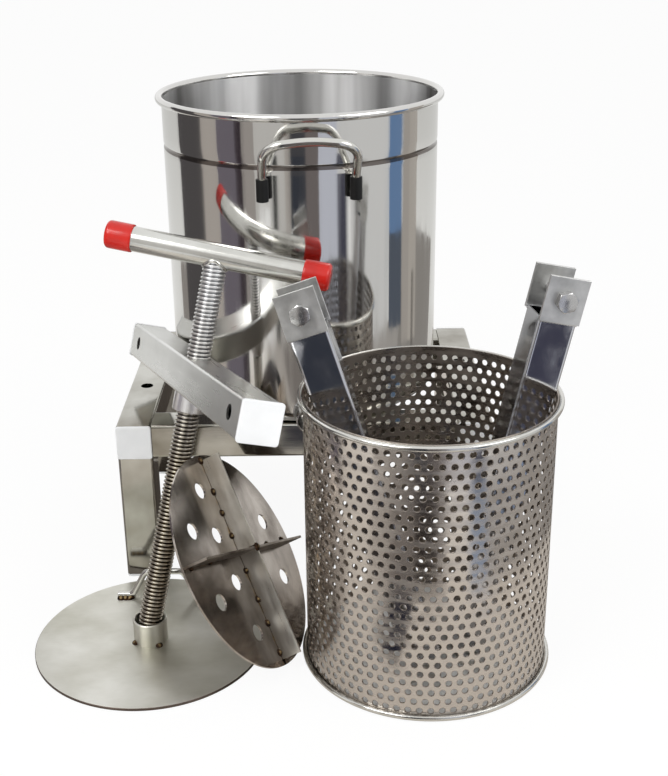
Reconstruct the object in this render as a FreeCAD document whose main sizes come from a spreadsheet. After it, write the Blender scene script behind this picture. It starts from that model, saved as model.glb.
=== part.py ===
"""A hand screw press for honeycomb, laid out as it is unpacked.

The stand carries the juice bucket. The perforated basket stands in front of it
with both arms in it, the press plate lies at the left with the screw, its
T-handle and the cross beam leaning over it, and the strainer disc leans
between the plate and the basket.

Millimetres, +Z up. The origin is on the floor under the middle of the layout.
"""

import FreeCAD, Part

import math
import os

Vector = FreeCAD.Vector

DRIVING_DIMENSIONS = [
    # Square tube of the stand
    ("tube_size", 38), ("tube_wall", 2), ("tube_corner", 3), ("inner_clearance", 0.2),
    # Stand
    ("stand_width", 404), ("stand_depth", 296), ("rail_top", 185),
    ("arm_hole_radius", 6.9), ("arm_hole_spacing", 68),
    ("cap_flange", 3), ("cap_depth", 15), ("foot_flange", 3),
    # Bucket
    ("bucket_radius", 148.6), ("bucket_height", 325), ("bucket_wall", 1.5),
    ("bucket_corner", 14), ("bucket_bead", 4),
    ("groove_level", 276), ("groove_depth", 0.6), ("groove_radius", 3),
    ("spout_radius", 14.5), ("spout_bore", 12.5), ("spout_level", 15), ("spout_reach", 25),
    # Bucket handles
    ("wire_radius", 4.35), ("handle_spacing", 92.9), ("handle_turn", 4.2),
    ("handle_reach", 35.6), ("handle_leg_reach", 1.0), ("handle_foot_level", 249.6),
    ("handle_bend_level", 267), ("handle_top_level", 309.4), ("handle_drop", 4.5),
    ("handle_corner", 22.5), ("handle_bend", 18), ("handle_crown", 160), ("handle_foot_corner", 4.6),
    ("sleeve_radius", 6.2), ("sleeve_length", 22.8), ("sleeve_level", 244.2),
    # Basket
    ("basket_bore", 117.8), ("basket_wall", 1.2), ("basket_height", 281), ("basket_bead", 2.6),
    ("perforation_radius", 3.1), ("perforation_rows", 13), ("perforations_per_row", 35),
    ("perforation_row_pitch", 20.08), ("perforation_first_row", 18.79),
    # Strainer disc
    ("disc_radius", 112.5), ("disc_thickness", 2), ("rib_height", 21), ("rib_thickness", 2.5),
    ("drain_radius", 8.5), ("rib_angle", 67), ("rib_length", 213),
    ("half_rib_length", 101), ("half_rib_turn", -2.1), ("half_rib_shift", 4.7),
    # Press plate
    ("plate_radius", 117), ("plate_thickness", 3), ("socket_radius", 17.2), ("socket_bore", 15),
    ("socket_height", 25), ("bail_wire", 3.25), ("bail_foot", 51), ("bail_rise", 28),
    ("bail_offset", 80.3), ("bail_shift", 5.1), ("bail_run", 16), ("bail_top", 20),
    ("bail_corner", 7),
    # Screw and T-handle
    ("screw_radius", 12), ("screw_root", 10.2), ("screw_lead", 4), ("screw_length", 389),
    ("screw_tip", 7.5), ("screw_point", 3), ("screw_tip_length", 15), ("screw_tail", 6),
    ("handle_radius", 12.5), ("handle_wall", 2), ("handle_level", 399.7), ("handle_length", 222.1),
    ("handle_offset", 1.05),
    ("grip_wall", 1.5), ("grip_length", 25), ("grip_end", 2),
    # Cross beam and nut
    ("beam_size", 36.5), ("beam_length", 428.4), ("beam_level", 278.6), ("beam_hole_spacing", 366),
    ("beam_hole_radius", 7), ("beam_cap_size", 38), ("beam_cap_flange", 4),
    ("nut_radius", 17), ("nut_length", 18), ("nut_bore", 12.4),
    # Arms
    ("arm_size", 37), ("arm_length", 370), ("ear_width", 39), ("ear_length", 43),
    ("ear_thickness", 3.5), ("foot_width", 30), ("foot_length", 96), ("foot_thickness", 5),
    ("bolt_radius", 6), ("bolt_flats", 18), ("bolt_head", 7.5), ("bolt_tail", 14),
    ("nut_flats", 18), ("nut_height", 10), ("bolt_clearance", 0.05),
    # Where each group stands: the stand's middle from the origin, the rest from the stand
    ("stand_x", 5.61), ("stand_y", 116.42),
    ("bucket_x", -0.6), ("bucket_y", -1.7), ("bucket_turn", 2.6),
    ("basket_x", 121.6), ("basket_y", -290.3), ("basket_turn", 3.6),
    ("disc_x", -6.6), ("disc_y", -290.4), ("disc_azimuth", 78.1), ("disc_lean", 31.0),
    ("plate_x", -158.8), ("plate_y", -275.5),
    ("screw_x", -162.6), ("screw_y", -280.8), ("screw_level", 4.2),
    ("screw_lean_right", 12.17), ("screw_lean_back", 14.84),
    ("beam_angle", 108.0), ("handle_angle", -7.9),
    ("left_arm_x", 119.3), ("left_arm_y", -322.2), ("left_arm_level", 10.15),
    ("left_arm_lean_right", -18.36), ("left_arm_lean_back", 7.38), ("left_arm_twist", -0.8),
    ("right_arm_x", 158.3), ("right_arm_y", -291.2), ("right_arm_level", 9.6),
    ("right_arm_lean_right", 12.39), ("right_arm_lean_back", 2.13), ("right_arm_twist", 9.05),
]

# Drain holes of the strainer disc: distance from its centre, angle from the long rib
DRAIN_PLACES = [
    (80.9, 18.5), (79.8, 60.3), (40.9, 43.4), (77.6, 115.1), (77.5, 159.7), (34.0, 125.8),
    (79.0, 201.5), (77.7, 246.3), (40.0, 225.0), (79.6, 292.3), (79.0, 336.5), (40.0, 315.0),
]
for number, (reach, angle) in enumerate(DRAIN_PLACES, start=1):
    DRIVING_DIMENSIONS.append((f"drain_{number}_reach", reach))
    DRIVING_DIMENSIONS.append((f"drain_{number}_angle", angle))

doc = FreeCAD.newDocument("honey_press")
sheet = doc.addObject("Spreadsheet::Sheet", "sizes")
for row, (alias, number) in enumerate(DRIVING_DIMENSIONS, start=1):
    sheet.set(f"A{row}", alias)
    sheet.set(f"B{row}", str(number))
    sheet.setAlias(f"B{row}", alias)
doc.recompute()

sub_parts = []


def size(alias):
    """The number in the sheet under this alias."""
    return float(getattr(sheet, alias))


def keep(piece, name, placement):
    """Name a finished sub-part and stand it where it belongs."""
    if any("Placement" in prop for prop, _ in piece.ExpressionEngine):
        group = doc.addObject("Part::Compound", name + "_group")
        group.Links = [piece]
        piece = group
    piece.Label = name
    piece.Placement = placement
    sub_parts.append(piece)
    return piece


def bind(piece, **expressions):
    """Tie properties of a primitive to the sheet."""
    for prop, text in expressions.items():
        piece.setExpression(prop.replace("_", "."), text)
    return piece


def box(name, length, width, height, low_corner):
    """A box whose sizes are expressions, with its low corner at three expressions."""
    piece = doc.addObject("Part::Box", name)
    bind(piece, Length=length, Width=width, Height=height)
    bind(piece, Placement_Base_x=low_corner[0], Placement_Base_y=low_corner[1],
         Placement_Base_z=low_corner[2])
    return piece


def cylinder(name, radius, height, low="0", turn=None, base=("0", "0")):
    """A cylinder along +Z from a level, or along another axis when turned."""
    piece = doc.addObject("Part::Cylinder", name)
    if turn is not None:
        piece.Placement = FreeCAD.Placement(Vector(), turn)
    bind(piece, Radius=radius, Height=height, Placement_Base_x=base[0],
         Placement_Base_y=base[1], Placement_Base_z=low)
    return piece


def torus(name, ring_radius, tube_radius, level):
    """A ring about +Z at a level."""
    piece = doc.addObject("Part::Torus", name)
    return bind(piece, Radius1=ring_radius, Radius2=tube_radius, Placement_Base_z=level)


def joined(name, pieces):
    """One solid fused from several."""
    fuse = doc.addObject("Part::MultiFuse", name)
    fuse.Shapes = pieces
    fuse.Refine = True
    return fuse


def less(name, base, tool):
    """The base with the tool taken away."""
    cut = doc.addObject("Part::Cut", name)
    cut.Base = base
    cut.Tool = tool
    return cut


def rounded(name, base, radius, chosen):
    """The base with its chosen edges rounded."""
    doc.recompute()
    fillet = doc.addObject("Part::Fillet", name)
    fillet.Base = base
    numbers = [n for n, edge in enumerate(base.Shape.Edges, start=1) if chosen(edge)]
    fillet.Edges = [(n, radius, radius) for n in numbers]
    return fillet


def along_z(edge):
    """True for a straight edge that runs up."""
    first, last = edge.Vertexes[0].Point, edge.Vertexes[-1].Point
    return abs(last.z - first.z) > 1.0 and (last - first).Length - abs(last.z - first.z) < 0.01


def at_level(level):
    """A test for edges that lie wholly at one height."""
    return lambda edge: all(abs(corner.Point.z - level) < 0.01 for corner in edge.Vertexes)


def square_tube(name, side, length):
    """A square tube along +Z from z = 0, centred on the axis, with round outer corners."""
    outer = box(name + "_outer", side, side, length, (f"-{side} / 2", f"-{side} / 2", "0"))
    inside = f"({side} - 2 * sizes.tube_wall)"
    inner = box(name + "_inner", inside, inside, f"{length} + 2",
                (f"-{inside} / 2", f"-{inside} / 2", "-1"))
    soft = rounded(name + "_soft", outer, size("tube_corner"), along_z)
    return less(name, soft, inner)


def plug(name, side, flange, tube_side):
    """A plastic end plug: a square flange below z = 0 and a hollow stem above it."""
    outer = box(name + "_flange", side, side, flange, (f"-{side} / 2", f"-{side} / 2", f"-{flange}"))
    soft = rounded(name + "_soft", outer, size("tube_corner"), along_z)
    stem_side = f"({tube_side} - 2 * sizes.tube_wall - 2 * sizes.inner_clearance)"
    stem = box(name + "_stem", stem_side, stem_side, "sizes.cap_depth",
               (f"-{stem_side} / 2", f"-{stem_side} / 2", "0"))
    body = joined(name + "_body", [soft, stem])
    hollow_side = f"({stem_side} - 4)"
    hollow = box(name + "_hollow", hollow_side, hollow_side, "sizes.cap_depth + 1",
                 (f"-{hollow_side} / 2", f"-{hollow_side} / 2", "0.01"))
    return less(name, body, hollow)


def axes(lean_right, lean_back, twist=0.0):
    """A turn whose +Z leans right (+X) and back (+Y), spun about itself by a twist."""
    up = Vector(math.tan(math.radians(lean_right)), math.tan(math.radians(lean_back)), 1).normalize()
    across = Vector(0, 1, 0).cross(up).normalize()
    deep = up.cross(across)
    angle = math.radians(twist)
    local_x = across * math.cos(angle) + deep * math.sin(angle)
    local_y = deep * math.cos(angle) - across * math.sin(angle)
    return FreeCAD.Rotation(local_x, local_y, up, "ZXY")


def spot(prefix, level=0.0):
    """A group's place in the layout, from the stand's middle."""
    return Vector(size("stand_x") + size(prefix + "_x"), size("stand_y") + size(prefix + "_y"), level)


def turned(axis, degrees):
    return FreeCAD.Rotation(axis, degrees)


X_AXIS = Vector(1, 0, 0)
Y_AXIS = Vector(0, 1, 0)
Z_AXIS = Vector(0, 0, 1)
ALONG_X = turned(Y_AXIS, 90)
ALONG_Y = turned(X_AXIS, -90)
middle = Vector(size("stand_x"), size("stand_y"), 0)

# Stand: two side rails front to back, two cross rails between them and four legs
rail_axis_x = (size("stand_width") - size("tube_size")) / 2
rail_axis_y = (size("stand_depth") - size("tube_size")) / 2
rail_level = size("rail_top") - size("tube_size") / 2

for side_name, sign in (("left", -1), ("right", 1)):
    tube = square_tube(f"{side_name}_rail_tube", "sizes.tube_size", "sizes.stand_depth")
    drills = [cylinder(f"{side_name}_rail_hole_{n}", "sizes.arm_hole_radius", "sizes.tube_size + 4",
                       low=f"sizes.stand_depth / 2 + {step} * sizes.arm_hole_spacing / 2",
                       turn=ALONG_Y, base=("0", "-sizes.tube_size / 2 - 2"))
              for n, step in enumerate((-1, 1), start=1)]
    drilled = less(f"{side_name}_rail_drilled", tube, joined(f"{side_name}_rail_holes", drills))
    start = middle + Vector(sign * rail_axis_x, -size("stand_depth") / 2, rail_level)
    keep(drilled, f"{side_name}_side_rail", FreeCAD.Placement(start, ALONG_Y))

for end_name, sign in (("front", -1), ("rear", 1)):
    tube = square_tube(f"{end_name}_cross_tube", "sizes.tube_size",
                       "(sizes.stand_width - 2 * sizes.tube_size)")
    start = middle + Vector(size("tube_size") - size("stand_width") / 2, sign * rail_axis_y, rail_level)
    keep(tube, f"{end_name}_cross_rail", FreeCAD.Placement(start, ALONG_X))
    for side_name, across in (("left", -1), ("right", 1)):
        corner = middle + Vector(across * rail_axis_x, sign * rail_axis_y, 0)
        leg = square_tube(f"{end_name}_{side_name}_leg_tube", "sizes.tube_size",
                          "(sizes.rail_top - sizes.tube_size - sizes.foot_flange)")
        lift = Vector(0, 0, size("foot_flange"))
        keep(leg, f"leg_{end_name}_{side_name}", FreeCAD.Placement(corner + lift, FreeCAD.Rotation()))
        foot = plug(f"{end_name}_{side_name}_foot_plug", "sizes.tube_size", "sizes.foot_flange",
                    "sizes.tube_size")
        keep(foot, f"foot_plug_{end_name}_{side_name}",
             FreeCAD.Placement(corner + lift, FreeCAD.Rotation()))
        cap = plug(f"{end_name}_{side_name}_rail_plug", "sizes.tube_size", "sizes.cap_flange",
                   "sizes.tube_size")
        mouth = middle + Vector(across * rail_axis_x, sign * size("stand_depth") / 2, rail_level)
        facing = turned(X_AXIS, 90 * sign)
        keep(cap, f"rail_cap_{end_name}_{side_name}", FreeCAD.Placement(mouth, facing))

# Bucket: a drawn shell with a rounded foot, a pressed groove and a wired rim
bucket_frame = FreeCAD.Placement(spot("bucket", size("rail_top")), turned(Z_AXIS, size("bucket_turn")))
outer = cylinder("bucket_outer", "sizes.bucket_radius", "sizes.bucket_height")
inner = cylinder("bucket_inner", "sizes.bucket_radius - sizes.bucket_wall",
                 "sizes.bucket_height + 10", low="sizes.bucket_wall")
outer_soft = rounded("bucket_outer_soft", outer, size("bucket_corner"), at_level(0))
inner_soft = rounded("bucket_inner_soft", inner, size("bucket_corner") - size("bucket_wall"),
                     at_level(size("bucket_wall")))
rim = torus("bucket_rim", "sizes.bucket_radius + sizes.bucket_bead - sizes.bucket_wall",
            "sizes.bucket_bead", "sizes.bucket_height")
groove = torus("bucket_groove", "sizes.bucket_radius + sizes.groove_radius - sizes.groove_depth",
               "sizes.groove_radius", "sizes.groove_level")
drain = cylinder("bucket_drain", "sizes.spout_bore", "60", low="sizes.spout_level", turn=turned(X_AXIS, 90),
                 base=("0", "-sizes.bucket_radius + 30"))
rimmed = joined("bucket_rimmed", [outer_soft, rim])
taken = joined("bucket_taken", [inner_soft, groove, drain])
keep(less("bucket_shell_body", rimmed, taken), "bucket_shell", bucket_frame)

spout_outer = cylinder("spout_outer", "sizes.spout_radius", "sizes.spout_reach + 24",
                       low="sizes.spout_level", turn=turned(X_AXIS, 90),
                       base=("0", "-sizes.bucket_radius + 24"))
spout_inner = cylinder("spout_inner", "sizes.spout_bore", "sizes.spout_reach + 60",
                       low="sizes.spout_level", turn=turned(X_AXIS, 90),
                       base=("0", "-sizes.bucket_radius + 40"))
wall_copy = rounded("spout_wall", cylinder("spout_wall_block", "sizes.bucket_radius", "sizes.bucket_height"),
                    size("bucket_corner"), at_level(0))
spout_taken = joined("spout_taken", [spout_inner, wall_copy])
keep(less("spout_body", spout_outer, spout_taken), "outlet_spout", bucket_frame)


def wire(points, corner_radii, wire_radius):
    """A round wire along straight runs joined by tangent arcs, one radius for each corner."""
    edges = []
    start = points[0]
    for before, corner, after, corner_radius in zip(points, points[1:], points[2:], corner_radii):
        into = (corner - before).normalize()
        out = (after - corner).normalize()
        half_turn = into.getAngle(out) / 2
        setback = corner_radius * math.tan(half_turn)
        first = corner - into * setback
        last = corner + out * setback
        inward = (out - into).normalize()
        centre = corner + inward * (corner_radius / math.cos(half_turn))
        middle_point = centre - inward * corner_radius
        edges.append(Part.LineSegment(start, first).toShape())
        edges.append(Part.Arc(first, middle_point, last).toShape())
        start = last
    edges.append(Part.LineSegment(start, points[-1]).toShape())
    path = Part.Wire(edges)
    heading = (points[1] - points[0]).normalize()
    ring = Part.Wire([Part.makeCircle(wire_radius, points[0], heading)])
    return path.makePipeShell([ring], True, True)


def free_piece(name, shape):
    """A sub-part whose shape is made directly."""
    piece = doc.addObject("Part::Feature", name)
    piece.Shape = shape
    return piece


# Bucket handles: bent wire welded to the wall, each leg's foot in a black sleeve
half_spacing = size("handle_spacing") / 2
bucket_radius = size("bucket_radius")
handle_start = FreeCAD.Placement(spot("bucket", size("rail_top")), turned(Z_AXIS, size("handle_turn")))
for end_name, half_turn in (("front", 0), ("rear", 180)):
    side_frame = handle_start.multiply(FreeCAD.Placement(Vector(), turned(Z_AXIS, half_turn)))
    leg = bucket_radius + size("handle_leg_reach")
    reach = bucket_radius + size("handle_reach")
    foot_level, bend_level = size("handle_foot_level"), size("handle_bend_level")
    top_level = size("handle_top_level")
    shoulder = top_level - size("handle_drop")
    root = math.sqrt(bucket_radius ** 2 - half_spacing ** 2) - 3
    loop = [Vector(-half_spacing, -root, foot_level), Vector(-half_spacing, -leg, foot_level),
            Vector(-half_spacing, -leg, bend_level), Vector(-half_spacing, -reach, shoulder),
            Vector(0, -reach, top_level), Vector(half_spacing, -reach, shoulder),
            Vector(half_spacing, -leg, bend_level), Vector(half_spacing, -leg, foot_level),
            Vector(half_spacing, -root, foot_level)]
    bends = [size("handle_foot_corner"), size("handle_bend"), size("handle_corner")]
    raw = wire(loop, bends + [size("handle_crown")] + bends[::-1], size("wire_radius"))
    wall_block = Part.makeCylinder(bucket_radius, size("bucket_height"))
    keep(free_piece(f"{end_name}_handle_body", raw.cut(wall_block)), f"{end_name}_handle_wire", side_frame)
    for side_name, across in (("left", -1), ("right", 1)):
        blank = Part.makeCylinder(size("sleeve_radius"), size("sleeve_length"),
                                  Vector(across * half_spacing, -leg, size("sleeve_level")))
        keep(free_piece(f"{end_name}_{side_name}_sleeve_body", blank.cut(raw)),
             f"handle_sleeve_{end_name}_{side_name}", side_frame)

# Basket: a perforated sheet cylinder, open at both ends, with a wired rim at each
basket_frame = FreeCAD.Placement(spot("basket"), turned(Z_AXIS, size("basket_turn")))
sheet_outer = cylinder("basket_outer", "sizes.basket_bore + sizes.basket_wall", "sizes.basket_height")
sheet_inner = cylinder("basket_inner", "sizes.basket_bore", "sizes.basket_height + 2", low="-1")
sheet_tube = less("basket_tube", sheet_outer, sheet_inner)
doc.recompute()
punches = []
per_row = int(size("perforations_per_row"))
for row in range(int(size("perforation_rows"))):
    level = size("perforation_first_row") + row * size("perforation_row_pitch")
    for column in range(per_row):
        angle = 2 * math.pi * (column + 0.5 * (row % 2)) / per_row
        direction = Vector(math.cos(angle), math.sin(angle), 0)
        start = direction * (size("basket_bore") - 3) + Vector(0, 0, level)
        punches.append(Part.makeCylinder(size("perforation_radius"), 8, start, direction))
perforated = sheet_tube.Shape.cut(Part.makeCompound(punches))
keep(free_piece("basket_sheet", perforated.Solids[0]), "basket_wall", basket_frame)
bead_ring = "sizes.basket_bore + sizes.basket_wall + sizes.basket_bead"
for bead_name, level in (("bottom", "sizes.basket_bead"), ("top", "sizes.basket_height - sizes.basket_bead")):
    bead = torus(f"basket_{bead_name}_ring", bead_ring, "sizes.basket_bead", level)
    keep(bead, f"basket_{bead_name}_bead", basket_frame)

# Strainer disc: a drilled plate leaning on its edge, with a long rib and two half ribs
lean = math.radians(size("disc_lean"))
azimuth = math.radians(size("disc_azimuth"))
disc_right = Vector(math.cos(azimuth), math.sin(azimuth), 0)
level_back = Vector(-math.sin(azimuth), math.cos(azimuth), 0)
disc_up = Z_AXIS * math.cos(lean) + level_back * math.sin(lean)
disc_normal = disc_right.cross(disc_up)
disc_turn = FreeCAD.Rotation(disc_right, disc_up, disc_normal, "ZXY")
disc_centre = spot("disc") + disc_up * size("disc_radius")
disc_frame = FreeCAD.Placement(disc_centre, disc_turn)
rib_frame = disc_frame.multiply(FreeCAD.Placement(Vector(), turned(Z_AXIS, size("rib_angle"))))
disc_blank = cylinder("disc_blank", "sizes.disc_radius", "sizes.disc_thickness")
drains = []
for number in range(1, len(DRAIN_PLACES) + 1):
    reach, angle = f"sizes.drain_{number}_reach", f"(sizes.drain_{number}_angle * 1 deg)"
    drains.append(cylinder(f"drain_{number}", "sizes.drain_radius", "sizes.disc_thickness + 2", low="-1",
                           base=(f"{reach} * cos{angle}", f"{reach} * sin{angle}")))
keep(less("disc_body", disc_blank, joined("disc_drains", drains)), "strainer_disc", rib_frame)
long_rib = box("long_rib_bar", "sizes.rib_length", "sizes.rib_thickness", "sizes.rib_height",
               ("-sizes.rib_length / 2", "-sizes.rib_thickness / 2", "sizes.disc_thickness"))
keep(long_rib, "disc_long_rib", rib_frame)
crossing = FreeCAD.Placement(Vector(size("half_rib_shift"), 0, 0), turned(Z_AXIS, size("half_rib_turn")))
half_rib_frame = rib_frame.multiply(crossing)
inner_end = "(sizes.rib_thickness / 2 + 0.06)"
for rib_name, low_y in (("left", inner_end), ("right", f"-{inner_end} - sizes.half_rib_length")):
    short_rib = box(f"{rib_name}_rib_bar", "sizes.rib_thickness", "sizes.half_rib_length",
                    "sizes.rib_height", ("-sizes.rib_thickness / 2", low_y, "sizes.disc_thickness"))
    keep(short_rib, f"disc_half_rib_{rib_name}", half_rib_frame)

# Press plate: a flat disc with the screw's socket and a wire bail behind it
plate_frame = FreeCAD.Placement(spot("plate"), FreeCAD.Rotation())
keep(cylinder("plate_disc", "sizes.plate_radius", "sizes.plate_thickness"), "press_plate", plate_frame)
socket_outer = cylinder("socket_outer", "sizes.socket_radius", "sizes.socket_height",
                        low="sizes.plate_thickness")
socket_inner = cylinder("socket_inner", "sizes.socket_bore", "sizes.socket_height + 2",
                        low="sizes.plate_thickness - 1")
keep(less("socket_body", socket_outer, socket_inner), "plate_socket", plate_frame)
bail_level = size("plate_thickness") + size("bail_wire")
bail_top = bail_level + size("bail_rise")
foot_x, run, half_top = size("bail_foot"), size("bail_run"), size("bail_top")
bail_points = [Vector(-foot_x, 0, bail_level), Vector(-foot_x + run, 0, bail_level),
               Vector(-half_top, 0, bail_top), Vector(half_top, 0, bail_top),
               Vector(foot_x - run, 0, bail_level), Vector(foot_x, 0, bail_level)]
bail_place = Vector(size("bail_shift"), size("bail_offset"), 0)
bail_frame = plate_frame.multiply(FreeCAD.Placement(bail_place, FreeCAD.Rotation()))
keep(free_piece("bail_body", wire(bail_points, [size("bail_corner")] * 4, size("bail_wire"))),
     "plate_bail", bail_frame)

# Screw: foot pin, threaded length and T-handle, all turning about the leaning axis
screw_turn = axes(size("screw_lean_right"), size("screw_lean_back"))
screw_frame = FreeCAD.Placement(spot("screw", size("screw_level")), screw_turn)
lead = size("screw_lead")
major, root_radius = size("screw_radius"), size("screw_root")
profile = [Vector(0, 0, 0), Vector(size("screw_point"), 0, 0),
           Vector(size("screw_tip"), 0, size("screw_tip") - size("screw_point")),
           Vector(size("screw_tip"), 0, size("screw_tip_length")),
           Vector(root_radius, 0, size("screw_tip_length"))]
level = size("screw_tip_length")
thread_end = size("screw_length") - size("screw_tail") - lead
while level < thread_end:
    profile += [Vector(root_radius, 0, level + 0.15 * lead), Vector(major, 0, level + 0.4 * lead),
                Vector(major, 0, level + 0.6 * lead), Vector(root_radius, 0, level + 0.85 * lead)]
    level += lead
profile += [Vector(root_radius, 0, size("screw_length")), Vector(0, 0, size("screw_length"))]
screw_face = Part.Face(Part.makePolygon(profile + [profile[0]]))
screw_solid = screw_face.revolve(Vector(), Z_AXIS, 360)
handle_frame = screw_frame.multiply(FreeCAD.Placement(Vector(0, 0, size("handle_level")),
                                                      turned(Z_AXIS, size("handle_angle"))))
half_handle = size("handle_length") / 2
pipe_start = "(sizes.handle_offset - sizes.handle_length / 2)"
pipe_outer = cylinder("pipe_outer", "sizes.handle_radius", "sizes.handle_length",
                      turn=ALONG_X, base=(pipe_start, "0"))
pipe_inner = cylinder("pipe_inner", "sizes.handle_radius - sizes.handle_wall", "sizes.handle_length + 2",
                      turn=ALONG_X, base=(f"{pipe_start} - 1", "0"))
keep(less("pipe_body", pipe_outer, pipe_inner), "handle_pipe", handle_frame)
pipe_space = Part.makeCylinder(size("handle_radius"), size("handle_length"),
                               Vector(-half_handle, 0, size("handle_level")), X_AXIS)
screw_extension = Part.makeCylinder(root_radius, size("handle_level") - size("screw_length"),
                                    Vector(0, 0, size("screw_length")))
screw_whole = screw_solid.fuse(screw_extension).removeSplitter().cut(
    pipe_space.rotated(Vector(), Z_AXIS, size("handle_angle")))
keep(free_piece("screw_body", screw_whole.Solids[0]), "press_screw", screw_frame)
for side_name, sign in (("left", -1), ("right", 1)):
    end_turn = turned(Y_AXIS, 90 * sign)
    pipe_end = Vector(size("handle_offset") + sign * half_handle, 0, 0)
    grip_frame = handle_frame.multiply(FreeCAD.Placement(pipe_end, end_turn))
    grip_outer = cylinder(f"{side_name}_grip_outer", "sizes.handle_radius + sizes.grip_wall",
                          "sizes.grip_length + sizes.grip_end", low="-sizes.grip_length")
    grip_inner = cylinder(f"{side_name}_grip_inner", "sizes.handle_radius",
                          "sizes.grip_length + 1", low="-sizes.grip_length - 1")
    grip_soft = rounded(f"{side_name}_grip_soft", grip_outer, 1.5, at_level(size("grip_end")))
    keep(less(f"{side_name}_grip_body", grip_soft, grip_inner), f"handle_grip_{side_name}", grip_frame)

# Cross beam with the nut under it, on the screw
beam_frame = screw_frame.multiply(FreeCAD.Placement(Vector(0, 0, size("beam_level")),
                                                    turned(Z_AXIS, size("beam_angle"))))
beam_tube = square_tube("beam_tube_body", "sizes.beam_size", "sizes.beam_length")
beam_tools = [cylinder(f"beam_hole_{n}", "sizes.beam_hole_radius", "sizes.beam_size + 4",
                       low=f"sizes.beam_length / 2 + {step} * sizes.beam_hole_spacing / 2",
                       turn=ALONG_Y, base=("0", "-sizes.beam_size / 2 - 2"))
              for n, step in enumerate((-1, 1), start=1)]
beam_tools.append(cylinder("beam_screw_hole", "sizes.nut_bore + 0.6", "sizes.beam_size + 4",
                           low="sizes.beam_length / 2", turn=ALONG_X, base=("-sizes.beam_size / 2 - 2", "0")))
beam_drilled = less("beam_drilled", beam_tube, joined("beam_holes", beam_tools))
lay_down = FreeCAD.Placement(Vector(-size("beam_length") / 2, 0, 0), ALONG_X)
keep(beam_drilled, "beam_tube", beam_frame.multiply(lay_down))
for end_name, sign in (("near", -1), ("far", 1)):
    cap = plug(f"beam_{end_name}_plug", "sizes.beam_cap_size", "sizes.beam_cap_flange", "sizes.beam_size")
    mouth = Vector(sign * size("beam_length") / 2, 0, 0)
    facing = turned(Y_AXIS, -90 * sign)
    keep(cap, f"beam_cap_{end_name}", beam_frame.multiply(FreeCAD.Placement(mouth, facing)))
nut_outer = cylinder("nut_outer", "sizes.nut_radius", "sizes.nut_length",
                     low="-sizes.beam_size / 2 - sizes.nut_length")
nut_inner = cylinder("nut_inner", "sizes.nut_bore", "sizes.nut_length + 2",
                     low="-sizes.beam_size / 2 - sizes.nut_length - 1")
keep(less("nut_body", nut_outer, nut_inner), "screw_nut", beam_frame)


def hexagon(flats, height, low, bore=None):
    """A hexagonal prism along +Z, across flats, with an optional bore."""
    corner = flats / math.sqrt(3)
    points = [Vector(corner * math.cos(math.radians(60 * n)), corner * math.sin(math.radians(60 * n)), low)
              for n in range(6)]
    prism = Part.Face(Part.makePolygon(points + [points[0]])).extrude(Vector(0, 0, height))
    chamfer = Part.makeCone(corner - height * 0.12, corner * 1.6, height * 4, Vector(0, 0, low - height * 0.01))
    flipped = chamfer.mirror(Vector(0, 0, low + height / 2), Z_AXIS)
    prism = prism.common(flipped)
    if bore:
        prism = prism.cut(Part.makeCylinder(bore, height + 2, Vector(0, 0, low - 1)))
    return prism


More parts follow.
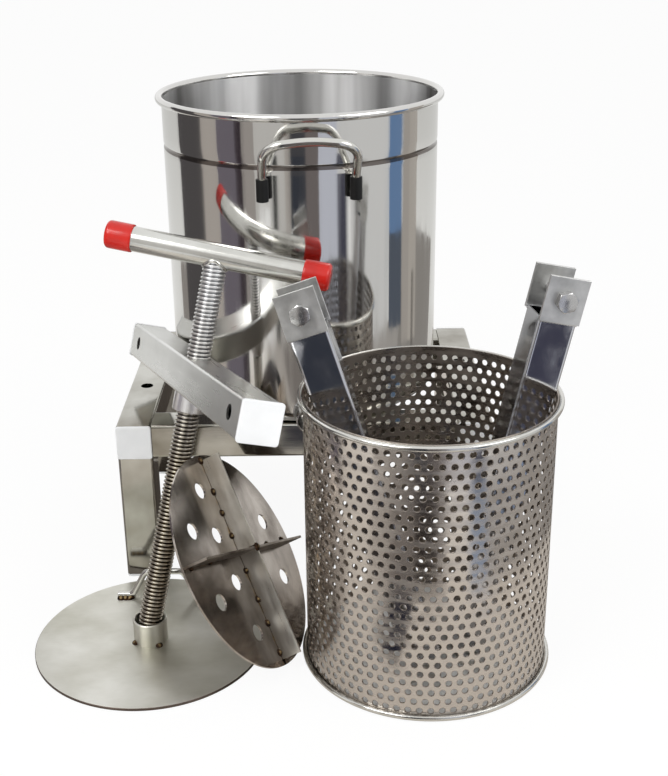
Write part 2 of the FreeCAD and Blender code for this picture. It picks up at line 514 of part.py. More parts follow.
# Arms: a square tube with a foot plate below and two ears and a bolt above
for side_name in ("left", "right"):
    prefix = f"{side_name}_arm"
    arm_turn = axes(size(prefix + "_lean_right"), size(prefix + "_lean_back"), size(prefix + "_twist"))
    arm_frame = FreeCAD.Placement(spot(prefix, size(prefix + "_level")), arm_turn)
    lift = FreeCAD.Placement(Vector(0, 0, size("foot_thickness")), FreeCAD.Rotation())
    tube = square_tube(f"{prefix}_tube_body", "sizes.arm_size",
                       "(sizes.arm_length - sizes.foot_thickness - sizes.beam_size / 2 - 0.5)")
    keep(tube, f"{prefix}_tube", arm_frame.multiply(lift))
    foot_block = box(f"{prefix}_foot_block", "sizes.foot_width", "sizes.foot_length", "sizes.foot_thickness",
                     ("-sizes.foot_width / 2", "-sizes.foot_length / 2", "0"))
    foot_drills = [cylinder(f"{prefix}_foot_hole_{n}", "sizes.arm_hole_radius", "sizes.foot_thickness + 2",
                            low="-1", base=("0", f"{step} * sizes.arm_hole_spacing / 2"))
                   for n, step in enumerate((-1, 1), start=1)]
    foot_body = less(f"{prefix}_foot_body", foot_block, joined(f"{prefix}_foot_holes", foot_drills))
    keep(foot_body, f"{prefix}_foot", arm_frame)
    bolt_frame = arm_frame.multiply(FreeCAD.Placement(Vector(0, 0, size("arm_length")), ALONG_Y))
    ear_inside = size("arm_size") / 2
    for ear_name, low_y in (("front", "-sizes.arm_size / 2 - sizes.ear_thickness"),
                            ("rear", "sizes.arm_size / 2")):
        ear_block = box(f"{prefix}_{ear_name}_ear_block", "sizes.ear_width", "sizes.ear_thickness",
                        "sizes.ear_length",
                        ("-sizes.ear_width / 2", low_y, "sizes.arm_length - sizes.ear_length / 2"))
        ear_hole = cylinder(f"{prefix}_{ear_name}_ear_hole", "sizes.bolt_radius + sizes.bolt_clearance",
                            "sizes.arm_size + 20", low="sizes.arm_length", turn=ALONG_Y,
                            base=("0", "-sizes.arm_size / 2 - 10"))
        ear_body = less(f"{prefix}_{ear_name}_ear_body", ear_block, ear_hole)
        keep(ear_body, f"{prefix}_{ear_name}_ear", arm_frame)
    half_grip = ear_inside + size("ear_thickness")
    head = hexagon(size("bolt_flats"), size("bolt_head"), 0)
    head.rotate(Vector(), X_AXIS, 180)
    head.translate(Vector(0, 0, -half_grip))
    shank_length = 2 * half_grip + size("bolt_tail")
    shank = Part.makeCylinder(size("bolt_radius"), shank_length, Vector(0, 0, -half_grip))
    keep(free_piece(f"{prefix}_bolt_body", head.fuse(shank).removeSplitter()), f"{prefix}_bolt", bolt_frame)
    nut = hexagon(size("nut_flats"), size("nut_height"), half_grip,
                  size("bolt_radius") + size("bolt_clearance"))
    keep(free_piece(f"{prefix}_nut_body", nut), f"{prefix}_nut", bolt_frame)

doc.recompute()

failed = [item.Name for item in doc.Objects if "Invalid" in item.State or "Error" in item.State]
if failed:
    raise RuntimeError("objects not computed: " + ", ".join(failed))
labels = [piece.Label for piece in sub_parts]
if len(set(labels)) != len(labels):
    raise RuntimeError("two sub-parts share a label")
for piece in sub_parts:
    if piece.Shape.isNull() or not piece.Shape.isValid() or not piece.Shape.Solids:
        raise RuntimeError("bad shape: " + piece.Label)

os.makedirs("parts", exist_ok=True)
for piece in sub_parts:
    piece.Shape.exportStep(f"parts/{piece.Label}.step")

whole = FreeCAD.BoundBox()
for piece in sub_parts:
    whole.add(piece.Shape.BoundBox)
print("sub-parts", len(sub_parts))
print("box centre", round(whole.Center.x, 3), round(whole.Center.y, 3), "lowest", round(whole.ZMin, 3))
print("box size", round(whole.XLength, 1), round(whole.YLength, 1), round(whole.ZLength, 1))
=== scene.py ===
"""Looks for a hand screw press laid out on a pale floor.

Every shape is worked out in millimetres in its own frame, stood where the solids stand,
and written to the mesh in metres. The sizes are the part's own.
"""

import math

import bmesh
import bpy
import numpy as np
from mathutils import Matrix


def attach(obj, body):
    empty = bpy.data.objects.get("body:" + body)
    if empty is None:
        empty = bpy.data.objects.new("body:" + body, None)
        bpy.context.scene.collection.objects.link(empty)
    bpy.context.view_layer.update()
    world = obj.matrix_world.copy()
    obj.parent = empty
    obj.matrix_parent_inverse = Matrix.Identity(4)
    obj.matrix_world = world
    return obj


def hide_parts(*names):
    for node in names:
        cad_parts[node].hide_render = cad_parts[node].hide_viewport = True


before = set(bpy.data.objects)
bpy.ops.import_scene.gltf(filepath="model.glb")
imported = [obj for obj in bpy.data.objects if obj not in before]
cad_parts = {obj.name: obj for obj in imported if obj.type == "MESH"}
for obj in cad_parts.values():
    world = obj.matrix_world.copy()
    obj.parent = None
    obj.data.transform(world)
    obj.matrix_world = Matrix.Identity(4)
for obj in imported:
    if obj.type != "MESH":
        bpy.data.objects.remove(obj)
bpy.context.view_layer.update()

TAU = 2 * math.pi
MM = 0.001

# Sizes in millimetres, turns in degrees.
TUBE, WALL, CORNER, PLUG_HEAD = 38.0, 2.0, 3.0, 3.0
STAND_WIDTH, STAND_DEPTH, RAIL_TOP = 404.0, 296.0, 185.0
RAIL_HOLE_RADIUS, RAIL_HOLE_REACH = 6.9, 34.0
STAND = np.array([5.61, 116.42, 0.0])
BUCKET_RADIUS, BUCKET_HEIGHT, BUCKET_WALL = 148.6, 325.0, 1.5
BUCKET_FOOT, BUCKET_RIM, GROOVE_LEVEL = 14.0, 4.0, 276.0
SPOUT_RADIUS, SPOUT_BORE, SPOUT_LEVEL, SPOUT_REACH = 14.5, 12.5, 15.0, 25.0
BASKET_BORE, BASKET_WALL, BASKET_HEIGHT, BASKET_BEAD = 117.8, 1.2, 281.0, 2.6
PUNCH_ROWS, PUNCHES_A_ROW, PUNCH_RADIUS, PUNCH_PITCH, PUNCH_START = 27, 70, 3.1, 10.04, 8.75
DISC_RADIUS, DISC_THICKNESS, DRAIN_RADIUS = 112.5, 2.0, 8.5
RIB_HEIGHT, RIB_THICKNESS, RIB_LENGTH = 21.0, 2.5, 213.0
HALF_RIB_LENGTH, HALF_RIB_TURN, HALF_RIB_SHIFT = 101.0, -2.1, 4.7
PLATE_RADIUS, PLATE_THICKNESS = 117.0, 3.0
BAIL_MIDDLE, BAIL_WIRE = (5.1, 80.3), 3.25
SCREW_RADIUS, SCREW_ROOT, SCREW_LEAD = 12.0, 10.2, 4.0
HANDLE_LEVEL, HANDLE_LENGTH, HANDLE_RADIUS, HANDLE_OFFSET, HANDLE_TURN = 399.7, 222.1, 12.5, 1.05, -7.9
BEAM_SIZE, BEAM_LENGTH, BEAM_LEVEL, BEAM_CAP = 36.5, 428.4, 278.6, 38.0
ARM_SIZE, ARM_LENGTH, ARM_FOOT, EAR_THICKNESS = 37.0, 370.0, 5.0, 3.5
BOLT_FLATS, BOLT_RADIUS, BOLT_HOLE = 18.0, 6.0, 6.05

# The disc's drain holes: how far each lies from the middle, and at what bearing.
DRAINS = [(80.9, 18.5), (79.8, 60.3), (40.9, 43.4), (77.6, 115.1), (77.5, 159.7), (34.0, 125.8),
          (79.0, 201.5), (77.7, 246.3), (40.0, 225.0), (79.6, 292.3), (79.0, 336.5), (40.0, 315.0)]


# Frames: where each part of the press stands and how it leans.
def turn(axis, degrees):
    """Rotation matrix about a unit axis, by the right-hand rule."""
    x, y, z = np.asarray(axis, float) / np.linalg.norm(axis)
    c, s = math.cos(math.radians(degrees)), math.sin(math.radians(degrees))
    cross = np.array([[0, -z, y], [z, 0, -x], [-y, x, 0]])
    return np.eye(3) * c + cross * s + (1 - c) * np.outer([x, y, z], [x, y, z])


def place(rotation, origin):
    """Four by four matrix from a rotation and an origin."""
    matrix = np.eye(4)
    matrix[:3, :3] = rotation
    matrix[:3, 3] = origin
    return matrix


def leaning(right, back, twist=0.0):
    """Rotation whose +Z leans right and back by two angles, spun about itself by a third."""
    up = np.array([math.tan(math.radians(right)), math.tan(math.radians(back)), 1.0])
    up /= np.linalg.norm(up)
    across = np.cross([0, 1, 0], up)
    across /= np.linalg.norm(across)
    upright = np.column_stack([across, np.cross(up, across), up])
    return upright @ turn([0, 0, 1], twist)


X, Y, Z = np.eye(3)
LEVEL = np.eye(3)
ALONG_X, ALONG_Y = turn(Y, 90), turn(X, -90)


def disc_frame(bearing, lean, spin):
    """The strainer disc leans on its edge: its own Y climbs the lean, its Z is the ribs' side."""
    bearing, lean = math.radians(bearing), math.radians(lean)
    along = np.array([math.cos(bearing), math.sin(bearing), 0])
    back = np.array([-math.sin(bearing), math.cos(bearing), 0])
    climb = Z * math.cos(lean) + back * math.sin(lean)
    tilted = np.column_stack([along, climb, np.cross(along, climb)])
    return place(tilted, STAND + [-6.6, -290.4, 0] + climb * DISC_RADIUS) @ place(turn(Z, spin), [0, 0, 0])


BUCKET = place(turn(Z, 2.6), STAND + [-0.6, -1.7, RAIL_TOP])
BASKET = place(LEVEL, STAND + [121.6, -290.3, 0])
PLATE = place(LEVEL, STAND + [-158.8, -275.5, 0])
SCREW = place(leaning(12.17, 14.84), STAND + [-162.6, -280.8, 4.2])
BEAM = SCREW @ place(turn(Z, 108.0), [0, 0, BEAM_LEVEL])
HANDLE = SCREW @ place(turn(Z, HANDLE_TURN), [0, 0, HANDLE_LEVEL])
DISC = disc_frame(78.1, 31.0, 67)
ARMS = {
    "left": place(leaning(-18.36, 7.38, -0.8), STAND + [119.3, -322.2, 10.15]),
    "right": place(leaning(12.39, 2.13, 9.05), STAND + [158.3, -291.2, 9.6]),
}


# Shapes: each is a pair, its points in millimetres and its four-cornered faces.
def grid_faces(rows, columns, wrap=False):
    """Quads of a grid of points numbered row by row; wrap closes the columns."""
    i = np.arange(rows - 1)[:, None]
    j = np.arange(columns if wrap else columns - 1)[None, :]
    k = (j + 1) % columns
    quads = np.stack([i * columns + j, i * columns + k, (i + 1) * columns + k, (i + 1) * columns + j], -1)
    return quads.reshape(-1, 4)


def around(radius, level, angle):
    """Rings of points: (r cos a, r sin a, z), with a radius for each ring or each point of it."""
    return np.stack(np.broadcast_arrays(radius * np.cos(angle), radius * np.sin(angle), level), -1)


def circle(segments):
    """Even angles once round, without the last."""
    return np.arange(segments) / segments * TAU


def lathe(profile, segments=128):
    """A profile of (radius, height) turned about Z: point = (r cos a, r sin a, z)."""
    profile = np.asarray(profile, float)
    points = around(profile[:, 0:1], profile[:, 1:2], circle(segments))
    return points.reshape(-1, 3), grid_faces(len(profile), segments, wrap=True)


def arc(centre, radius, start, end, steps=8):
    """Points on an arc of a profile: centre plus radius at evenly spaced angles, in degrees."""
    angle = np.radians(np.linspace(start, end, steps))
    return [(centre[0] + radius * math.cos(a), centre[1] + radius * math.sin(a)) for a in angle]


def normals_along(path):
    """Two unit normals carried along a path with as little twist as possible."""
    tangent = np.gradient(path, axis=0)
    tangent /= np.linalg.norm(tangent, axis=1)[:, None]
    normal = np.zeros_like(path)
    carried = X if abs(tangent[0] @ X) < 0.8 else Y
    for n, ahead in enumerate(tangent):
        carried = carried - ahead * (carried @ ahead)
        carried = carried / np.linalg.norm(carried)
        normal[n] = carried
    return normal, np.cross(tangent, normal)


def sweep(path, radius, segments=24):
    """A round section carried along a path: centre + r (cos a n1 + sin a n2).

    Each end closes over a slightly narrower ring to a point at its middle.
    """
    path = np.asarray(path, float)
    radius = np.broadcast_to(np.asarray(radius, float), len(path))
    radius = np.concatenate([[0.0, radius[0] * 0.9], radius, [radius[-1] * 0.9, 0.0]])
    path, one, two = (np.pad(rows, ((2, 2), (0, 0)), "edge") for rows in (path, *normals_along(path)))
    angle = circle(segments)
    ring = np.cos(angle)[None, :, None] * one[:, None] + np.sin(angle)[None, :, None] * two[:, None]
    points = path[:, None] + radius[:, None, None] * ring
    return points.reshape(-1, 3), grid_faces(len(path), segments, wrap=True)


def bent(corners, radii, step=1.2):
    """A path of straight runs through corner points, each corner rounded to a tangent arc."""
    corners = [np.asarray(c, float) for c in corners]
    points = [corners[0]]
    for before, corner, after, radius in zip(corners, corners[1:], corners[2:], radii):
        into = (corner - before) / np.linalg.norm(corner - before)
        out = (after - corner) / np.linalg.norm(after - corner)
        half = math.acos(np.clip(into @ out, -1, 1)) / 2
        setback = radius * math.tan(half)
        inward = (out - into) / np.linalg.norm(out - into)
        centre = corner + inward * radius / math.cos(half)
        first = corner - into * setback - centre
        last = corner + out * setback - centre
        share = np.linspace(0, 1, max(4, int(2 * half * radius / step)))[:, None]
        swing = np.sin((1 - share) * 2 * half) * first + np.sin(share * 2 * half) * last
        points += list(centre + swing / math.sin(2 * half))
    points.append(corners[-1])
    return np.array(points)


def resampled(path, step):
    """The same path with points at even distances along it."""
    lengths = np.concatenate([[0], np.cumsum(np.linalg.norm(np.diff(path, axis=0), axis=1))])
    at = np.linspace(0, lengths[-1], max(2, int(lengths[-1] / step)))
    return np.column_stack([np.interp(at, lengths, path[:, k]) for k in range(3)])


def thick_sheet(outer, inner, kept, wrap=False):
    """A sheet between two grids of points that share their numbering.

    Cells that are kept get a face on both grids, and every edge between a kept cell
    and a gap gets a face across the thickness, which closes the sheet.
    """
    rows, columns = outer.shape[:2]
    count = rows * columns
    quads = grid_faces(rows, columns, wrap).reshape(rows - 1, -1, 4)
    chosen = quads[kept]
    faces = [chosen, chosen[:, ::-1] + count]
    ends = np.pad(kept, ((1, 1), (0, 0)))
    below, above = kept & ~ends[:-2], kept & ~ends[2:]
    if wrap:
        left, right = kept & ~np.roll(kept, 1, 1), kept & ~np.roll(kept, -1, 1)
    else:
        sides = np.pad(kept, ((0, 0), (1, 1)))
        left, right = kept & ~sides[:, :-2], kept & ~sides[:, 2:]
    for mask, a, b in ((below, 0, 1), (right, 1, 2), (above, 2, 3), (left, 3, 0)):
        edge = quads[mask]
        faces.append(np.stack([edge[:, b], edge[:, a], edge[:, a] + count, edge[:, b] + count], -1))
    points = np.vstack([outer.reshape(-1, 3), inner.reshape(-1, 3)])
    return points, np.vstack(faces)


def holed_plate(width, length, thickness, holes, radius=None, pitch=1.6):
    """A flat plate with round holes, rectangular or (with a radius) round.

    The plate is an even grid; cells inside a hole or past the rim are left out. Points that
    touch both a kept cell and a gap are pulled to the circle: centre + r (p - centre) / |p - centre|.
    """
    across = np.linspace(-width / 2, width / 2, int(width / pitch) + 1)
    along = np.linspace(-length / 2, length / 2, int(length / pitch) + 1)
    u, v = np.meshgrid(across, along)
    middle_u, middle_v = (u[1:, 1:] + u[:-1, :-1]) / 2, (v[1:, 1:] + v[:-1, :-1]) / 2
    kept = np.ones(middle_u.shape, bool)
    for x, y, reach in holes:
        kept &= np.hypot(middle_u - x, middle_v - y) > reach
    if radius:
        kept &= np.hypot(middle_u, middle_v) < radius
    cells = np.pad(kept, 1)
    touching = np.stack([cells[:-1, :-1], cells[:-1, 1:], cells[1:, :-1], cells[1:, 1:]])
    border = touching.any(0) & ~touching.all(0)
    for x, y, reach in holes + ([(0, 0, radius)] if radius else []):
        away = np.hypot(u - x, v - y) + 1e-9
        near = border & (np.abs(away - reach) < 1.5 * pitch)
        pull = np.where(near, reach / away, 1.0)
        u, v = x + (u - x) * pull, y + (v - y) * pull
    top, bottom = (np.stack([u, v, np.full(u.shape, z)], -1) for z in (thickness, 0.0))
    return thick_sheet(top, bottom, kept)


def square_section(side, corner, lines):
    """Points and outward normals round a square with rounded corners, from given flat lines.

    The third result says for each point which flat it is on (-1 on a corner), the fourth where.
    """
    half = side / 2
    flat = half - corner
    points, normals, quarters, offsets = [], [], [], []
    for quarter in range(4):
        c, s = math.cos(quarter * TAU / 4), math.sin(quarter * TAU / 4)
        for line in lines:
            points.append((half * c - line * s, half * s + line * c))
            normals.append((c, s))
            quarters.append(quarter)
            offsets.append(line)
        for a in np.linspace(0, TAU / 4, 8)[1:-1]:
            nx, ny = math.cos(a + quarter * TAU / 4), math.sin(a + quarter * TAU / 4)
            points.append((flat * (c - s) + corner * nx, flat * (s + c) + corner * ny))
            normals.append((nx, ny))
            quarters.append(-1)
            offsets.append(0.0)
    return np.array(points), np.array(normals), np.array(quarters), np.array(offsets)


def square_tube(side, wall, corner, length, holes=(), pitch=1.5):
    """A square tube along Z with rounded corners and round holes through its flats.

    The section runs round the square; holes are (level, quarter, radius) on the middle of
    the flat whose outward side is that quarter turn from +X.
    """
    flat, first = side / 2 - corner, 0.35
    steps = int(2 * flat / pitch) if holes else 4
    lines = np.unique(np.concatenate([np.linspace(-flat, flat, steps + 1), [first - flat, flat - first]]))
    section, normals, quarters, offsets = square_section(side, corner, lines)
    levels = [np.linspace(0, length, 9), [0.6, length - 0.6]]
    for level, quarter, radius in holes:
        levels.append(np.arange(level - radius - 3 * pitch, level + radius + 3.1 * pitch, pitch))
    levels = np.unique(np.round(np.concatenate(levels), 3))
    levels = levels[(levels >= 0) & (levels <= length)]
    levels = levels[np.concatenate([[True], np.diff(levels) > 0.2])]
    levels[-1] = length
    height = np.repeat(levels[:, None], len(section), 1)
    shift = np.zeros(height.shape)
    kept = np.ones((len(levels) - 1, len(section)), bool)
    for level, quarter, radius in holes:
        on_flat = quarters == quarter
        middle = (offsets + np.roll(offsets, -1)) / 2
        middle_level = (levels[1:] + levels[:-1])[:, None] / 2
        gap = on_flat & np.roll(on_flat, -1) & (np.hypot(middle, middle_level - level) < radius)
        kept &= ~gap
        cut = np.zeros((4, *height.shape), bool)
        for n, (down, aside) in enumerate(((0, 0), (0, 1), (1, 0), (1, 1))):
            cut[n, down:down + len(gap)] = np.roll(gap, aside, 1)
        border = cut.any(0) & ~cut.all(0) & on_flat
        pull = radius / (np.hypot(offsets, levels[:, None] - level) + 1e-9)
        height = np.where(border, level + (levels[:, None] - level) * pull, height)
        shift = np.where(border, offsets * (pull - 1), shift)
    tangent = np.column_stack([-normals[:, 1], normals[:, 0]])
    skin = section[None] + shift[..., None] * tangent[None]
    outer, inner = (np.dstack([skin - depth * normals[None], height]) for depth in (0.0, wall))
    return thick_sheet(outer, inner, kept, wrap=True)


def plug_cap(side, corner, thickness):
    """A soft-edged square plug head below z = 0: rounded-square loops that close at both faces.

    Its visible edge is rounded by 1 mm and its back edge by half of that, as
    inset = r (1 - cos a), rise = r (1 - sin a).
    """
    lines = np.linspace(corner - side / 2, side / 2 - corner, 7)
    section, normals, _, _ = square_section(side, corner, lines)
    loops = [(section * share, -thickness) for share in (0.0, 0.55, 0.9)]
    for a in np.radians(np.linspace(90, 0, 6)):
        loops.append((section - normals * (1 - math.cos(a)), 1 - math.sin(a) - thickness))
    for a in np.radians(np.linspace(0, 90, 5)):
        loops.append((section - normals * 0.5 * (1 - math.cos(a)), -0.5 * (1 - math.sin(a))))
    loops += [(section * 0.6, 0.0), (section * 0.0, 0.0)]
    points = np.array([np.column_stack([loop, np.full(len(loop), level)]) for loop, level in loops])
    return points.reshape(-1, 3), grid_faces(len(points), len(section), wrap=True)


def hexagon(flats, height, bore=0.0):
    """A hexagonal prism from z = 0 with its outer corners turned down to a cone at both ends.

    Radius at angle a = the smaller of flats / 2 / cos(a folded to 30 degrees) and the cone.
    """
    angle = circle(96)
    folded = (angle + TAU / 12) % (TAU / 6) - TAU / 12
    rise = np.concatenate([[0], np.linspace(0.05, 2.0, 8)])
    levels = np.concatenate([rise, height - rise[::-1]])
    cone = flats / 2 * 0.98 + np.minimum(levels, height - levels) * math.tan(math.radians(62))
    sides = np.minimum(flats / 2 / np.cos(folded), cone[:, None])
    hole = np.full((1, len(angle)), bore)
    radius, levels = np.vstack([hole, sides, hole]), np.concatenate([[0], levels, [height]])
    if bore:
        radius, levels = np.vstack([radius, hole]), np.append(levels, 0)
    points = around(radius, levels[:, None], angle)
    return points.reshape(-1, 3), grid_faces(len(levels), len(angle), wrap=True)


# A tack weld's points: how many go round, and the angles up its dome.
BLOB_SEGMENTS, BLOB_CLIMB = 18, np.radians(np.linspace(0, 90, 6))


def blob(radius, height, seed):
    """A tack weld: a low dome, r cos b across at a height of h sin b, closed 0.4 mm below the sheet.

    Its radius wanders with the angle: 1 + 0.12 sin(2 a + seed) + 0.08 sin(3 a + 2.3 seed).
    """
    angle = circle(BLOB_SEGMENTS)
    wander = 1 + 0.12 * np.sin(2 * angle + seed) + 0.08 * np.sin(3 * angle + 2.3 * seed)
    share = np.concatenate([[0, 1], np.cos(BLOB_CLIMB)])[:, None]
    levels = np.concatenate([[-0.4, -0.4], height * np.sin(BLOB_CLIMB)])[:, None]
    points = around(radius * share * wander, levels, angle)
    return points.reshape(-1, 3), grid_faces(len(points), BLOB_SEGMENTS, wrap=True)


def blob_heights(count):
    """For each point of a number of tack welds in a row: its height as a share of the weld's own."""
    rise = np.concatenate([[0.0, 0.0], np.sin(BLOB_CLIMB)])
    return np.tile(np.repeat(rise, BLOB_SEGMENTS), count)


def moved(shape, matrix):
    """The same shape carried by a four by four matrix."""
    points, faces = shape
    return points @ matrix[:3, :3].T + matrix[:3, 3], faces


def together(shapes):
    """Several shapes as one: their points in a row, and their faces counted on."""
    starts = np.cumsum([0] + [len(points) for points, faces in shapes[:-1]])
    points = np.vstack([points for points, faces in shapes])
    return points, np.vstack([faces + start for (points, faces), start in zip(shapes, starts)])


def piece(name, shape, matrix, body, material, stands_for=(), sharp=32, bevel=0.0, marks=None):
    """Writes a shape to a mesh, merges its seams, turns it outwards and gives it to a body.

    The attribute "grain" keeps each point's place in the piece's own frame, for the patterns, and
    "mark" keeps the marks given: how high a point lies up a thread's tooth or a weld.
    """
    local, faces = shape
    placed, _ = moved(shape, matrix)
    mesh = bpy.data.meshes.new(name)
    mesh.from_pydata((placed * MM).tolist(), [], faces.tolist())
    grain = mesh.attributes.new("grain", "FLOAT_VECTOR", "POINT")
    grain.data.foreach_set("vector", (local * MM).astype(np.float32).ravel())
    if marks is not None:
        extra = mesh.attributes.new("mark", "FLOAT", "POINT")
        extra.data.foreach_set("value", np.asarray(marks, np.float32))
    work = bmesh.new()
    work.from_mesh(mesh)
    bmesh.ops.remove_doubles(work, verts=work.verts, dist=2e-6)
    bmesh.ops.dissolve_degenerate(work, dist=1e-7, edges=work.edges)
    loose = [v for v in work.verts if not v.link_faces]
    bmesh.ops.delete(work, geom=loose, context="VERTS")
    bmesh.ops.recalc_face_normals(work, faces=work.faces)
    work.to_mesh(mesh)
    work.free()
    mesh.polygons.foreach_set("use_smooth", np.ones(len(mesh.polygons), bool))
    mesh.set_sharp_from_angle(angle=math.radians(sharp))
    mesh.materials.append(material)
    made = bpy.data.objects.new(name, mesh)
    bpy.context.scene.collection.objects.link(made)
    if bevel:
        soften = made.modifiers.new("edges", "BEVEL")
        soften.width = bevel * MM
        soften.segments = 2
        soften.limit_method = "ANGLE"
        soften.angle_limit = math.radians(50)
        soften.harden_normals = True
    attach(made, body)
    if stands_for:
        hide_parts(*stands_for)
    return made


def second_finish(made, matrix, radii, levels, material):
    """Gives the faces between two radii and two levels of a turned piece a second finish."""
    made.data.materials.append(material)
    middles = np.zeros(len(made.data.polygons) * 3)
    made.data.polygons.foreach_get("center", middles)
    middles = middles.reshape(-1, 3) / MM - matrix[:3, 3]
    reach, height = np.hypot(middles[:, 0], middles[:, 1]), middles[:, 2]
    chosen = (reach > radii[0]) & (reach < radii[1]) & (height > levels[0]) & (height < levels[1])
    index = np.zeros(len(height), np.int32)
    made.data.polygons.foreach_get("material_index", index)
    index[chosen] = len(made.data.materials) - 1
    made.data.polygons.foreach_set("material_index", index)


# Materials: a pattern's size is how many millimetres one of its features takes along X, Y and Z
# of the piece. Real grinding and drawing lines lie about 0.05 mm apart, too fine for the render,
# so they are drawn from 1 mm to some centimetres wide.
def linear(code):
    """Linear colour from an sRGB hex value."""
    parts = [int(code[n:n + 2], 16) / 255 for n in (1, 3, 5)]
    return [p / 12.92 if p <= 0.04045 else ((p + 0.055) / 1.055) ** 2.4 for p in parts] + [1.0]


def add(tree, kind, settings=None, **inputs):
    """Adds a node, with its settings and what each input is linked or set to; i6 is input number 6."""
    made = tree.nodes.new("ShaderNode" + kind)
    for key, value in (settings or {}).items():
        setattr(made, key, value)
    for key, value in inputs.items():
        numbered = key[0] == "i" and key[1:].isdigit()
        target = made.inputs[int(key[1:]) if numbered else key.replace("_", " ")]
        if isinstance(value, bpy.types.NodeSocket):
            tree.links.new(value, target)
        else:
            target.default_value = value
    return made


def blank(name):
    """A material with an empty node tree."""
    made = bpy.data.materials.new(name)
    made.use_nodes = True
    made.node_tree.nodes.clear()
    return made, made.node_tree


def finish(name, colour, roughness, metallic=0.0, **shader):
    """A material with one shader: its colour, roughness and metal come first."""
    made, tree = blank(name)
    skin = add(tree, "BsdfPrincipled", Base_Color=linear(colour), Roughness=roughness, Metallic=metallic,
               **shader)
    add(tree, "OutputMaterial", Surface=skin.outputs[0])
    return made, tree, skin


def pattern(tree, size, detail=3.0, roughness=0.55):
    """Cloudy noise on the piece's own coordinates, its features a given size in millimetres."""
    grain = add(tree, "Attribute", {"attribute_name": "grain"})
    scale = [1 / (side * MM) for side in np.broadcast_to(size, 3)]
    squeeze = add(tree, "Mapping", Vector=grain.outputs["Vector"], Scale=scale)
    noise = add(tree, "TexNoise", Vector=squeeze.outputs[0], Scale=1.0, Detail=detail, Roughness=roughness)
    return noise.outputs[0]


def two_tone(tree, value, span, first, second, shares=(0.0, 1.0)):
    """One colour that passes into another, between two shares, while a value crosses a span."""
    share = add(tree, "MapRange", Value=value, From_Min=span[0], From_Max=span[1],
                To_Min=shares[0], To_Max=shares[1])
    tone = add(tree, "Mix", {"data_type": "RGBA"}, i0=share.outputs[0], i6=first, i7=second)
    return tone.outputs[2]


def polished_stainless(name, colour, roughness, wave_size, wave_depth, haze_size=(40, 40, 7.143)):
    """Polished stainless sheet: a mirror that wavers where it was rolled, hazier in patches."""
    made, tree, skin = finish(name, colour, roughness, 1.0)
    haze = add(tree, "MapRange", Value=pattern(tree, haze_size, 4), From_Min=0.35, From_Max=0.7,
               To_Min=roughness * 0.5, To_Max=roughness * 2.0)
    tree.links.new(haze.outputs[0], skin.inputs["Roughness"])
    wave = add(tree, "Bump", Height=pattern(tree, wave_size, 1.5), Strength=1.0, Distance=wave_depth * MM)
    tree.links.new(wave.outputs[0], skin.inputs["Normal"])
    return made


def ground_stainless(name, colour, dark, roughness, line_size, line_depth, cloud_size=71.43):
    """Ground stainless: parallel lines that spread the light across them, under darker clouds."""
    made, tree, skin = finish(name, colour, roughness, 1.0)
    lines = pattern(tree, line_size, 5, 0.7)
    clouds = two_tone(tree, pattern(tree, cloud_size, 4), (0.35, 0.7), linear(colour), linear(dark))
    tree.links.new(clouds, skin.inputs["Base Color"])
    dullness = add(tree, "MapRange", Value=lines, From_Min=0.3, From_Max=0.7,
                   To_Min=roughness * 0.8, To_Max=roughness * 1.25)
    tree.links.new(dullness.outputs[0], skin.inputs["Roughness"])
    scratch = add(tree, "Bump", Height=lines, Strength=1.0, Distance=line_depth * MM)
    tree.links.new(scratch.outputs[0], skin.inputs["Normal"])
    return made


def plastic(name, colour, dark, roughness, pore_size, pore_depth, **shader):
    """Moulded plastic or rubber: one colour with a slight cloud and a fine skin."""
    made, tree, skin = finish(name, colour, roughness, 0.0, **shader)
    clouds = two_tone(tree, pattern(tree, 28.57, 3), (0.3, 0.7), linear(colour), linear(dark))
    tree.links.new(clouds, skin.inputs["Base Color"])
    pores = add(tree, "Bump", Height=pattern(tree, pore_size, 2), Strength=1.0, Distance=pore_depth * MM)
    tree.links.new(pores.outputs[0], skin.inputs["Normal"])
    return made


def brushed_across(material, amount):
    """Round grinding lines: they draw a highlight out upwards, across the lines."""
    tree = material.node_tree
    skin = tree.nodes["Principled BSDF"]
    upright = add(tree, "CombineXYZ", X=0.0, Y=0.0, Z=1.0)
    tree.links.new(upright.outputs[0], skin.inputs["Tangent"])
    skin.inputs["Anisotropic"].default_value = amount


def heat_tint(material, dark_width, straw_width):
    """Along a sheet's own X, where a rib stands on it: a dark line, with straw heat colours fading beside it.

    Straw shows where |y| is less than a reach that a cloudy pattern carries from nothing to straw_width, and
    the dark line where |y| is less than dark_width.
    """
    tree = material.node_tree
    skin = tree.nodes["Principled BSDF"]
    before = skin.inputs["Base Color"].links[0].from_socket
    grain = add(tree, "Attribute", {"attribute_name": "grain"})
    parts = add(tree, "SeparateXYZ", Vector=grain.outputs["Vector"])
    away = add(tree, "Math", {"operation": "ABSOLUTE"}, i0=parts.outputs["Y"])
    reach = add(tree, "MapRange", Value=pattern(tree, (18.18, 11.11, 11.11), 3), From_Min=0.35, From_Max=0.7,
                To_Min=0.0, To_Max=straw_width * MM)
    near = add(tree, "Math", {"operation": "SUBTRACT"}, i0=reach.outputs[0], i1=away.outputs[0])
    straw = two_tone(tree, near.outputs[0], (0.0, 4 * MM), before, linear("#a88a58"), (0.0, 0.75))
    edge = (dark_width * 0.8 * MM, dark_width * 1.1 * MM)
    seam = two_tone(tree, away.outputs[0], edge, straw, linear("#2b1e14"), (1.0, 0.0))
    tree.links.new(seam, skin.inputs["Base Color"])


